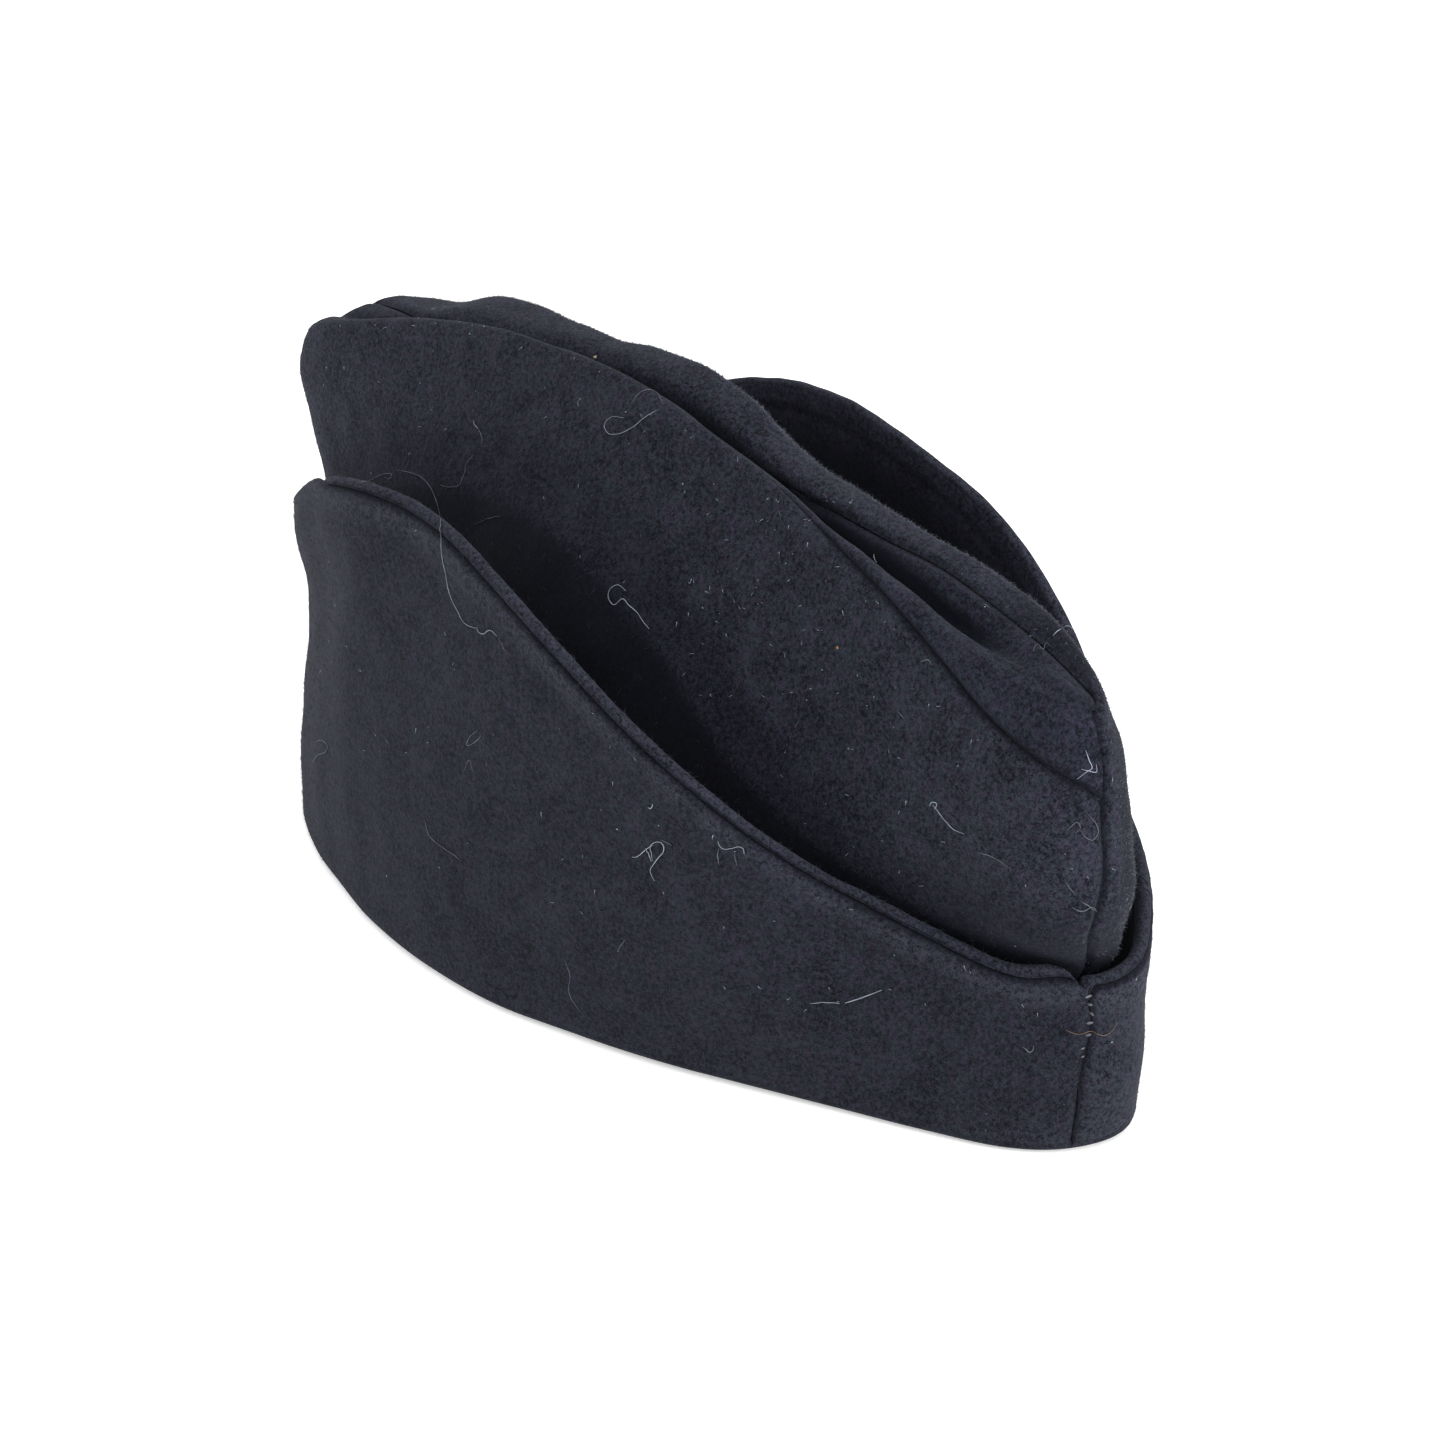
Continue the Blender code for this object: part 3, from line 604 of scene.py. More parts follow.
# %% Closed wall
SAME_POINT, NEAR_POINT, NO_LENGTH, ON_PLANE = 1.5e-6, 6e-5, 1e-6, 1e-7


def merge_and_fill(bm, verts, distance):
    """Merge points that lie together, drop what has no size left, and close what is open."""
    bmesh.ops.remove_doubles(bm, verts=verts, dist=distance)
    bmesh.ops.dissolve_degenerate(bm, edges=bm.edges, dist=NO_LENGTH)
    bmesh.ops.holes_fill(bm, edges=[e for e in bm.edges if e.is_boundary], sides=0)


def cloth_piece(name, rings, wear_and_painted_light, material, side=0, shape=None):
    """Closed cloth through rings of points, cut at the centre seam where it has a side."""
    n, m = rings.shape[:2]
    i, j = np.arange(n - 1)[:, None] * m, np.arange(m)[None]
    k = (j + 1) % m
    quads = np.stack([i + j, i + k, i + m + k, i + m + j], -1).reshape(-1, 4)
    mesh = bpy.data.meshes.new(name)
    mesh.from_pydata(rings.reshape(-1, 3).tolist(), [], quads.tolist())
    mesh.attributes.new("wear_and_painted_light", "FLOAT", "POINT").data.foreach_set(
        "value", np.broadcast_to(wear_and_painted_light, (n, m)).astype(np.float32).ravel())
    bm = bmesh.new()
    bm.from_mesh(mesh)
    if side:
        bmesh.ops.bisect_plane(bm, geom=bm.verts[:] + bm.edges[:] + bm.faces[:], dist=ON_PLANE,
                               plane_co=(0, side * CLEAR / 2, 0), plane_no=(0, -side, 0), clear_outer=True)
    bmesh.ops.holes_fill(bm, edges=[e for e in bm.edges if e.is_boundary], sides=0)
    merge_and_fill(bm, bm.verts, SAME_POINT)
    split = {v for e in bm.edges if not e.is_manifold for v in e.verts}
    merge_and_fill(bm, list(split), NEAR_POINT)
    caps = [f for f in bm.faces if len(f.verts) > 4]
    for face in bm.faces:
        face.smooth = len(face.verts) <= 4
    for face in caps:
        for edge in face.edges:
            edge.smooth = False
    bmesh.ops.triangulate(bm, faces=caps)
    bmesh.ops.recalc_face_normals(bm, faces=bm.faces)
    bm.to_mesh(mesh)
    odd_edges = sum(not e.is_manifold for e in bm.edges)
    bm.free()
    if shape is not None:
        points = np.empty(len(mesh.vertices) * 3)
        mesh.vertices.foreach_get("co", points)
        mesh.vertices.foreach_set("co", shape(points.reshape(-1, 3)).ravel())
    mesh.update()
    mesh.materials.append(material)
    piece = bpy.data.objects.new(name, mesh)
    bpy.context.scene.collection.objects.link(piece)
    mesh.calc_loop_triangles()
    print(name, len(mesh.loop_triangles), "triangles,", odd_edges, "edges without just two faces")
    return piece


# %% [markdown]
# ## Crown sides
#
# Each side is one panel from the hem inside the bottom fold up to the seam of the top.
# Where it meets another panel the cloth turns in, so its edge rounds off into a fine dark
# groove, and the seam allowances pressed behind it lift a soft band a few millimetres
# wide, slightly puckered by the sewing. The panel is sampled closely along its seams and
# coarsely where the turn-up hides it. The front seam isn't straight: it leans to and fro,
# and the left front is fuller than the right.

# %% Seams
SEAM_ROUND, SEAM_DIP = 0.0011, 0.00085   # half width and depth of the dip at a seam
BAND, BAND_LIFT = 0.0055, 0.00022        # width and lift of the allowances beside it
PUCKER = 0.00008                         # puckers of the sewing
# The darkness along a seam's groove is painted shade, over this half width.
GROOVE = 0.0009                          # half width of the dark groove along a seam


def seam_profile(distance, run):
    """How high the cloth lies near a seam, by the distance from it and the way along it."""
    dip = -SEAM_DIP * np.exp(-(distance / SEAM_ROUND) ** 2)
    lift = BAND_LIFT * ease(distance / 0.0016) * (1 - ease((distance - BAND * 0.7) / (BAND * 0.6)))
    wavy = PUCKER * np.sin(run / 0.0011) * np.exp(-distance / 0.003) * ease(distance / 0.001)
    return dip + lift * (1 + 0.35 * np.sin(run / 0.0043 + 1.0)) + wavy


def rolled_over(phi):
    """Where the right seam lies flat in the fold behind its ridge, 0 to 1."""
    return ease((np.abs(phi) - 32.0) / 14.0)


print("a seam's groove is %.2f mm deep" % (SEAM_DIP * 1000))


# %% Set of the nose
# Height on the crown's front and how far its seam leans to the wearer's left there, metres
NOSE_LEAN = np.array([(0.012, 0.0), (0.030, 0.0024), (0.037, 0.0033), (0.0425, 0.0004), (0.047, -0.0017),
                      (0.0515, -0.0016), (0.056, -0.0010), (0.0605, -0.0005), (0.068, 0.0)])
LEAN_WIDTH = 0.012   # how far from the seam the cloth goes with it
FULLNESS = 0.0022    # how far the left front swells towards the turn-up


def nose_set(points):
    x, y, z = points.T
    near = np.exp(-(y / LEAN_WIDTH) ** 2) * ease((x - 0.07) / 0.05)
    lean = smooth(NOSE_LEAN[:, 0], NOSE_LEAN[:, 1], np.clip(z, NOSE_LEAN[0, 0], NOSE_LEAN[-1, 0])) * near
    full = (FULLNESS * ease((x - 0.085) / 0.025) * ease(y / 0.006) * ease((z - 0.030) / 0.010)
            * (1 - ease((z - 0.047) / 0.016)))
    return np.stack([x + 0.55 * full, y + lean + 0.83 * full, z], -1)


# %% Wear and painted light of the crown
EDGE_SHADE_HIGH = 0.011                       # how far above the turn-up's edge the painted shade reaches
RIDGE_WIDTH = 0.011                    # half width of a ridge's wear and painted highlight, as a share of the section
SHADE_FROM, SHADE_OVER = 0.22, 0.24      # slope down from the turn-up's edge at which dark cloth starts
FRONT_FROM, FRONT_OVER = 0.085, 0.03   # slope down from the turn-up's edge at which the painted shade starts
PAINTED_SHADE, GROOVE_SHADE = 0.85, 0.85           # how dark the painted shade by the turn-up and in a groove is, as a value below nothing


def at_front(points):
    """0 along the sides, 1 at the front of the cap."""
    return ease((points[..., 0] - FRONT_FROM) / FRONT_OVER)


def crown_wear_and_painted_light(side, phi, place, outer, to_top, to_centre, sewn_flat):
    """Worn seam edges and ridges with painted highlight, less painted shade by the turn-up's edge, in the
    grooves and on the far front.
    """
    # The left ridge's lightening is mostly a painted highlight, for the light it catches from behind; the
    # right ridge's is wear.
    rim, ridge_wear_and_highlight, seam_groove_shade = (0.982, 0.55, 0.40) if side > 0 else (1.0, 0.03, GROOVE_SHADE)
    ridge = np.exp(-((place - rim) / RIDGE_WIDTH) ** 2) * ease((np.abs(phi)[:, None] - 9) / 8)
    wear_and_highlight = ridge_wear_and_highlight * ridge + 0.06 * np.exp(-to_centre / 0.003)
    # Painted shade: dark where the turn-up's edge stands steeply above the cloth, and dimmer just above that
    # edge, most at the front.
    edge = flap_point(phi, flap_height(phi), FLAP_WALL + FACING_WALL)[:, None]
    under = edge[..., 2] - outer[..., 2]
    steep = under / np.maximum(np.linalg.norm((edge - outer)[..., :2], axis=-1), 0.004)
    front = at_front(outer)
    edge_shade = (0.25 + 0.50 * front) * (1 - ease(-under / (EDGE_SHADE_HIGH * (0.6 + 1.4 * front))))
    painted_shade = np.maximum(PAINTED_SHADE * ease((steep - SHADE_FROM) / SHADE_OVER), edge_shade)
    # Painted shade in the seam grooves.
    groove = np.maximum(GROOVE_SHADE * np.exp(-(to_centre / GROOVE) ** 2),
                        seam_groove_shade * sewn_flat * np.exp(-(to_top / GROOVE) ** 2))
    # Painted shade on the crown's left front, where the left front light falls on it.
    far_front_shade = 0.75 * front * ease((outer[..., 1] - 0.003) / 0.004)
    return wear_and_highlight - np.maximum(np.maximum(painted_shade, groove), far_front_shade)


# %% Crown sides
# Where the points of a side's section lie, as shares of the way from the hem to the seam:
# few behind the turn-up, more where the side shows, most at the seam
SIDE_SHARES = np.concatenate([np.linspace(0, 0.24, 7)[:-1], np.linspace(0.24, 0.80, 42)[:-1],
                              np.linspace(0.80, 0.94, 24)[:-1], 1 - 0.06 * np.linspace(1, 0, 17) ** 1.5])
PRESSED = 0.84                          # share of the way from which the cloth is pressed thin
SLOW_WAVE, SLOW_LIFT = 0.042, 0.00042   # length and height of the long soft waves
QUICK_WAVE, QUICK_LIFT = 0.016, 0.00022   # and of the short ones


def crown_side(name, side, seam):
    phi = half_turn(side)
    held = side * np.clip(side * phi, 0.0, 180.0)
    place = seam(held)[:, None] * SIDE_SHARES
    at = np.broadcast_to(phi[:, None], place.shape)
    outer = crown_point(at, place)
    normal, up = crown_directions(at, place)
    outer[:, -1] -= up[:, -1] * CLEAR / 2
    step = np.linalg.norm(np.diff(outer, axis=1), axis=-1)
    to_top = np.concatenate([np.cumsum(step[:, ::-1], 1)[:, ::-1], np.zeros((len(phi), 1))], 1)
    to_centre = np.abs(outer[..., 1])
    along = np.concatenate([[0], np.cumsum(np.linalg.norm(np.diff(outer[:, -1], axis=0), axis=-1))])
    slow_seed, quick_seed = (5, 8) if side < 0 else (6, 9)
    soft = SLOW_LIFT * waves(outer, SLOW_WAVE, slow_seed) + QUICK_LIFT * waves(outer, QUICK_WAVE, quick_seed)
    quiet = ease(to_top / 0.012) * ease(outer[..., 2] / 0.02)
    sewn_flat = 1 - 0.85 * rolled_over(phi)[:, None] * (side < 0)
    lie = seam_profile(to_top, along[:, None]) * sewn_flat + soft * quiet
    lie += seam_profile(to_centre, outer[..., 2]) * ease(outer[..., 2] / 0.03)
    outer = outer + normal * lie[..., None]
    last = len(SIDE_SHARES) - 1
    keep = np.unique(np.concatenate([np.linspace(0, 47, 9), np.linspace(47, last, 12)]).astype(int))
    press = np.clip((SIDE_SHARES - PRESSED) / (1 - PRESSED), 0.0, 1.0)
    wall = CROWN_WALL + (seam_wall(held)[:, None] - CROWN_WALL) * press
    inner = crown_point(at, place) - normal * wall[..., None]
    inner[..., 2] = np.maximum(inner[..., 2], FLAP_WALL + CLEAR)
    rings = np.concatenate([outer, inner[:, keep[::-1]]], 1)
    wear_and_painted_light = np.zeros(rings.shape[:2])
    wear_and_painted_light[:, :place.shape[1]] = crown_wear_and_painted_light(side, phi, place, outer, to_top, to_centre, sewn_flat)
    return cloth_piece(name + "_cloth", rings, wear_and_painted_light, crown_wool, side, nose_set)


right_side = crown_side("crown_side_right", -1, right_seam)
left_side = crown_side("crown_side_left", 1, left_seam)

# %% [markdown]
# ## Top
#
# The top is a long leaf of cloth between the two seams. Behind the nose it folds over the
# ridges and sinks into a valley; at the nose its pointed tip lies smooth. The fold lines
# are crisp from years of lying flat, so the cloth is sampled finely across them and small
# creases run along the valley.

# %% Top
def crown_insert(name):
    rib = np.abs(half_turn(-1)[2:-2])
    rib = np.unique(np.concatenate([[0.08], rib[(rib > 0.3) & (rib < 177.6)], [178.0]]))
    start, stop = right_seam(rib)[:, None], (2 * MIDDLE - left_seam(rib))[:, None]
    nose = np.concatenate([0.03 * np.linspace(0, 1, 9)[:-1] ** 1.5, np.linspace(0.03, 1, 14)])
    over = np.concatenate([np.linspace(1.0, 1.10, 20)[1:], np.linspace(1.10, 2 * MIDDLE - 1.10, 22)[1:]])
    place = np.concatenate([start + (1.0 - start) * nose, np.broadcast_to(over, (len(rib), len(over))),
                            over[-1] + (stop - over[-1]) * (1 - np.linspace(1, 0, 20)[1:] ** 1.4)], 1)
    at = np.broadcast_to(-rib[:, None], place.shape)
    outer = crown_point(at, place)
    normal, up = crown_directions(at, place)
    first, last = outer[:, :1].copy(), outer[:, -1:].copy()
    outer[:, 0] += up[:, 0] * CLEAR / 2
    outer[:, -1] -= up[:, -1] * CLEAR / 2
    to_right = np.linalg.norm(outer - first, axis=-1)
    to_left = np.linalg.norm(outer - last, axis=-1)
    along = np.concatenate([[0], np.cumsum(np.linalg.norm(np.diff(outer[:, 0], axis=0), axis=-1))])[:, None]
    room = ease((rib[:, None] - 0.3) / 3.0) * ease((178.0 - rib[:, None]) / 3.0)
    soft = 0.00030 * waves(outer, 0.022, 12) + 0.00012 * waves(outer * (0.35, 1, 1), 0.007, 13)
    sewn_flat = 1 - 0.85 * rolled_over(rib)[:, None]
    lie = (seam_profile(to_right, along) * sewn_flat + seam_profile(to_left, along)
           + soft * ease(to_right / 0.004) * ease(to_left / 0.004)) * room
    outer = outer + normal * lie[..., None]
    at_ridge = place >= 1.0
    wall = np.where(at_ridge, np.minimum(TOP_WALL, seam_wall(rib) * 1.2)[:, None], seam_wall(rib)[:, None])
    wall = np.minimum(wall, 0.5 * seam_wall(rib)[:, None] + 0.5 * np.minimum(to_right, to_left))
    for row, shift in ((0, (0.0, -0.7 * CLEAR, CLEAR)), (-1, (CLEAR, 0.0, 0.0))):
        flat = at_ridge[row]
        outer[row, flat] = outer[row, flat].mean(0)
        normal[row, flat] = unit(normal[row, flat].mean(0))
        wall[row] = seam_wall(rib[row]) * 0.5
        outer[row] = outer[row] * (1, 0, 1) + shift
    inner = outer - normal * wall[..., None]
    keep = np.unique(np.linspace(0, place.shape[1] - 1, 26).astype(int))
    rings = np.concatenate([outer, inner[:, keep[::-1]]], 1)
    crest = np.minimum(np.abs(place - 1.0), np.abs(2 * MIDDLE - place - 1.0)) / 0.03
    # Painted shadow in the valley behind the nose: the cloth darkens the further it lies below the lower
    # ridge.
    lower = CAP_HEIGHT * np.minimum(around(RIDGES, 4, 5, -rib), around(RIDGES, 4, 5, rib))[:, None]
    painted_shade = (0.92 * ease((lower - outer[..., 2] - 0.0014) / 0.0024) * ease((rib[:, None] - 11) / 5)
            * (place > 1.0))
    # Painted shade in the seam grooves.
    groove = np.maximum(0.40 * np.exp(-(to_left / GROOVE) ** 2),
                        GROOVE_SHADE * sewn_flat * np.exp(-(to_right / GROOVE) ** 2))
    # Crests of the top a little lighter: wear, and a little painted highlight.
    wear_and_highlight = 0.05 * np.exp(-crest ** 2) * ease((rib[:, None] - 14) / 14)
    wear_and_painted_light = np.zeros(rings.shape[:2])
    wear_and_painted_light[:, :place.shape[1]] = wear_and_highlight - np.maximum(painted_shade, groove)
    return cloth_piece(name + "_cloth", rings, wear_and_painted_light, top_wool)


top = crown_insert("crown_top")

# %% [markdown]
# ## Turn-up
#
# The outer cloth of the turn-up ends in a groove under the bead, where it is sewn to the
# facing. The allowances inside lift a band half a centimetre wide below that groove. At
# the rear the seam rolls over to the inside, so there the outer cloth itself goes over
# the edge and the bead sinks away behind it. The front seam isn't quite straight: it bows
# to the wearer's left halfway up, and the edge dips to a small notch where the halves
# meet.

# %% Turn-up cloth
# Height of the front seam and how far it bows to the wearer's left there, metres
SEAM_BOW = np.array([(0.0, -0.0013), (0.008, -0.0006), (0.0155, 0.0), (0.020, 0.0007), (0.026, 0.0018),
                     (0.030, 0.0020), (0.034, 0.0010), (0.0366, -0.0008), (0.040, -0.0010)])
NOTCH_DEPTH, NOTCH_WIDTH = 0.0042, 0.0009   # depth and half width of the notch
RIGHT_RISE = 0.0020                         # how far the edge rises just right of it


def front_set(points):
    """Bow of the front seam and the notch at its top."""
    x, y, z = points.T
    near = np.exp(-(y / 0.011) ** 2) * ease((x - 0.09) / 0.02)
    bow = smooth(SEAM_BOW[:, 0], SEAM_BOW[:, 1], np.clip(z, 0, 0.040)) * near
    dip = NOTCH_DEPTH * np.exp(-(y / NOTCH_WIDTH) ** 2) - RIGHT_RISE * np.exp(-((y + 0.0035) / 0.0038) ** 2)
    return np.stack([x, y + bow, z - dip * ease((x - 0.09) / 0.02) * ease((z - 0.020) / 0.014)], -1)


def rolled(phi):
    """How far the seam at the edge has gone over to the inside, 0 to 1."""
    return ease((np.abs(phi) - 126.0) / 12.0)


LIP, BANDED = 0.0012, 0.0085   # closely sampled part below the edge, and the band of allowances
LOW_ROWS = 33                  # rows of points from there to the bottom fold


def flap_cloth(name, side):
    phi = half_turn(side)[:, None]
    tall, roll = flap_height(phi), rolled(phi)
    edge = tall - BEAD_HEIGHT * (1 - roll) - 0.0002 * roll
    down = np.concatenate([np.linspace(0, LIP, 7), np.linspace(LIP, BANDED, 16)[1:]])
    upper = edge - down
    low = FOLD_RADIUS + (upper[:, -1:] - FOLD_RADIUS) * np.linspace(1, 0, LOW_ROWS + 1)[1:]
    bend = np.radians(np.linspace(0, 90, 8)[1:])
    foot = np.array([0.0036, 0.0052, FOOT_WIDTH])
    z = np.concatenate([upper, low, FOLD_RADIUS * (1 - np.sin(bend)) + 0 * phi, 0 * foot + 0 * phi], 1)
    inset = np.concatenate([0 * upper, 0 * low, FOLD_RADIUS * (1 - np.cos(bend)) + 0 * phi,
                            foot + 0 * phi], 1)
    reach = np.concatenate([down, down[-1] + 0.004 * np.arange(1, LOW_ROWS + 1)])[None]
    lip = 0.00090 * np.exp(-(down / 0.00065) ** 2)[None] * (1 - roll) + 0.0011 * (1 - np.sqrt(
        np.clip(1 - (1 - np.minimum(down / 0.0014, 1)) ** 2, 0, 1)))[None] * roll
    inset[:, :len(down)] += lip
    base = flap_point(phi, np.maximum(z, 0.0), inset)
    slow_seed, quick_seed = (21, 23) if side < 0 else (22, 24)
    wave = 0.00036 * waves(base, 0.040, slow_seed) + 0.00016 * waves(base, 0.013, quick_seed)
    count = len(down) + LOW_ROWS
    run = np.concatenate([[0], np.cumsum(np.linalg.norm(np.diff(base[:, 0], axis=0), axis=-1))])[:, None]
    band = (BAND_LIFT * 1.5 * ease(reach / 0.0011) * (1 - ease((reach - 0.0048) / 0.0026))
            * (1 + 0.4 * np.sin(run / 0.006)))
    pucker = PUCKER * np.sin(run / 0.0009) * np.exp(-reach / 0.002) * ease(reach / 0.0008)
    lift = (band * (1 - 0.75 * roll) + pucker * (1 - roll) + wave[:, :count] * ease(reach / 0.010)
            * ease(z[:, :count] / 0.012))
    to_centre = np.abs(base[:, :count, 1])
    lift += seam_profile(to_centre, z[:, :count]) * 0.8
    inset[:, :count] -= lift
    face = flap_point(phi, z, inset)
    small = FOLD_RADIUS - FLAP_WALL
    turn = np.radians(np.array([90, 60, 30, 0]))
    back_z = np.concatenate([FLAP_WALL + 0 * phi, FOLD_RADIUS - small * np.sin(turn) + 0 * phi,
                             FOLD_RADIUS + (edge - 0.0004 - FOLD_RADIUS) * np.linspace(0.08, 1, 12)], 1)
    back_in = np.concatenate([FOOT_WIDTH + 0 * phi, FLAP_WALL + small * (1 - np.cos(turn)) + 0 * phi,
                              FLAP_WALL + 0 * phi * np.ones(12)], 1)
    back = flap_point(phi, back_z, back_in)
    rings = np.concatenate([face, back], 1)
    on_band = 0.42 * np.exp(-((reach - 0.003) / 0.0022) ** 2) * (1 - 0.4 * roll)
    on_edge = 0.5 * np.exp(-reach / 0.002) * roll
    on_fold = 0.35 * np.exp(-z[:, :count] / 0.004)
    # Painted light: the left turn-up is lighter towards its front.
    left_front_light = 0.25 * at_front(base[:, :count]) if side > 0 else 0.0
    # Painted shade in the groove under the bead and along the front seam.
    groove = np.maximum(np.exp(-(reach / 0.0007) ** 2) * (1 - roll), np.exp(-(to_centre / 0.0005) ** 2))
    wear_and_painted_light = np.zeros(rings.shape[:2])
    wear_and_painted_light[:, :count] = (on_band + on_edge + on_fold + left_front_light) * (1 - groove) - GROOVE_SHADE * groove
    return cloth_piece(name + "_cloth", rings, wear_and_painted_light, flap_wool, side, front_set)


right_flap = flap_cloth("flap_right", -1)
left_flap = flap_cloth("flap_left", 1)


# %% Facing and bead
BEAD_ROWS = 19   # rows of points round the bead


def facing_cloth(name, side):
    phi = half_turn(side)[:, None]
    roll, tall = rolled(phi), flap_height(phi)
    outer, inner = FLAP_WALL + CLEAR, FLAP_WALL + CLEAR + FACING_WALL
    start = BEAD_INSET + (outer + 0.0001 - BEAD_INSET) * roll
    centre, half = (start + inner) / 2, (inner - start) / 2
    sunk = tall - 0.0009 * roll
    arc = np.radians(np.linspace(0, 180, BEAD_ROWS))
    line = flap_point(phi, tall, centre)[:, 0]
    run = np.concatenate([[0], np.cumsum(np.linalg.norm(np.diff(line, axis=0), axis=-1))])[:, None]
    uneven = (1 + 0.06 * np.sin(run / 0.0031) + 0.05 * np.sin(run / 0.0074 + 2)
              + 0.04 * np.sin(run / 0.0013 + 1))
    bead_z = sunk - half + half * uneven * np.sin(arc)
    bead_in = centre + half * np.cos(arc)
    lower = sunk - (BEAD_HEIGHT - CLEAR) * np.linspace(0.72, 1.0, 4)
    rows = np.concatenate([[0.985, 0.955], np.linspace(0.92, 0.05, 10)])
    foot = FOLD_RADIUS + CLEAR
    behind_z = np.concatenate([tall * rows, foot + 0 * phi], 1)
    depth = np.linspace(0.0014, 0.0090, 14)
    middle_z = foot + (tall - depth[-1] - foot) * np.linspace(0, 1, 24)[1:-1]
    inside_z = np.concatenate([foot + 0 * phi, middle_z, np.maximum((tall - depth)[:, ::-1], foot)], 1)
    below = tall - inside_z
    crease = 0.00050 * np.exp(-((below - 0.0063) / 0.0013) ** 2)
    step = 0.00030 * ease(below / 0.0050) * (1 - ease((below - 0.0050) / 0.0030))
    base = flap_point(phi, inside_z, inner)
    wave = 0.00032 * waves(base, 0.034, 31 if side < 0 else 32)
    soft = wave * ease(below / 0.012) * ease(inside_z / 0.012)
    inside_in = inner + step - crease + soft
    rings = np.concatenate([
        flap_point(phi, np.maximum(bead_z, foot), bead_in),
        flap_point(phi, np.maximum(lower, foot), start + 0 * lower),
        flap_point(phi, np.minimum(np.maximum(behind_z, foot), sunk - BEAD_HEIGHT + CLEAR), outer),
        flap_point(phi, inside_z, inside_in)], 1)
    wear_and_painted_light = np.zeros(rings.shape[:2])
    # The bead is lighter towards its top: wear, and a painted highlight.
    wear_and_painted_light[:, :BEAD_ROWS] = 0.45 * np.sin(arc)
    count = inside_z.shape[1]
    # Inside the turn-up: a little wear near the edge, then painted shade that deepens further down.
    wear_and_painted_light[:, -count:] = 0.16 - 0.16 * ease((below - 0.004) / 0.003) - 0.70 * ease((below - 0.0055) / 0.008)
    return cloth_piece(name + "_cloth", rings, wear_and_painted_light, facing_wool, side, front_set)


right_facing = facing_cloth("flap_facing_right", -1)
left_facing = facing_cloth("flap_facing_left", 1)
cloths = {"crown_side_right": right_side, "crown_side_left": left_side, "crown_top": top,
          "flap_right": right_flap, "flap_left": left_flap,
          "flap_facing_right": right_facing, "flap_facing_left": left_facing}

# %% [markdown]
# ## Loose nap
#
# Seen close, brushed wool is never a clean edge: short fibres stand off it, most of them
# on the rubbed ridges, and catch the light against the dark behind. Painted fur would
# vanish from the side, so real fibres are strewn by Geometry Nodes: each one a thin
# three-sided spike, bent, leaning almost flat and turned by chance from a fixed seed. The
# tree is one for all the cloths; only its named inputs differ.

# %% Nap tree
def link(tree, source, node, name):
    tree.links.new(source, plug(node.inputs, name))


def set_inputs(node, **values):
    """Set a node's inputs; an underscore stands for the space in a name."""
    for label, value in values.items():
        plug(node.inputs, label.replace("_", " ")).default_value = value


def named_value(tree, name, kind="FLOAT"):
    """What a named attribute holds at each point."""
    node = add(tree, "GeometryNodeInputNamedAttribute", data_type=kind)
    plug(node.inputs, "Name").default_value = name
    return plug(node.outputs, "Attribute")


def finish_tree(tree, instances, material, gives):
    """Make the instances real, give them their material and hand them out."""
    real, dressed = add(tree, "GeometryNodeRealizeInstances"), add(tree, "GeometryNodeSetMaterial")
    link(tree, instances, real, "Geometry")
    link(tree, real.outputs["Geometry"], dressed, "Geometry")
    link(tree, material, dressed, "Material")
    wire(tree, dressed.outputs["Geometry"], gives.inputs[0])


WHOLE, SHAPE, FINISH = "NodeSocketInt", "NodeSocketGeometry", "NodeSocketMaterial"


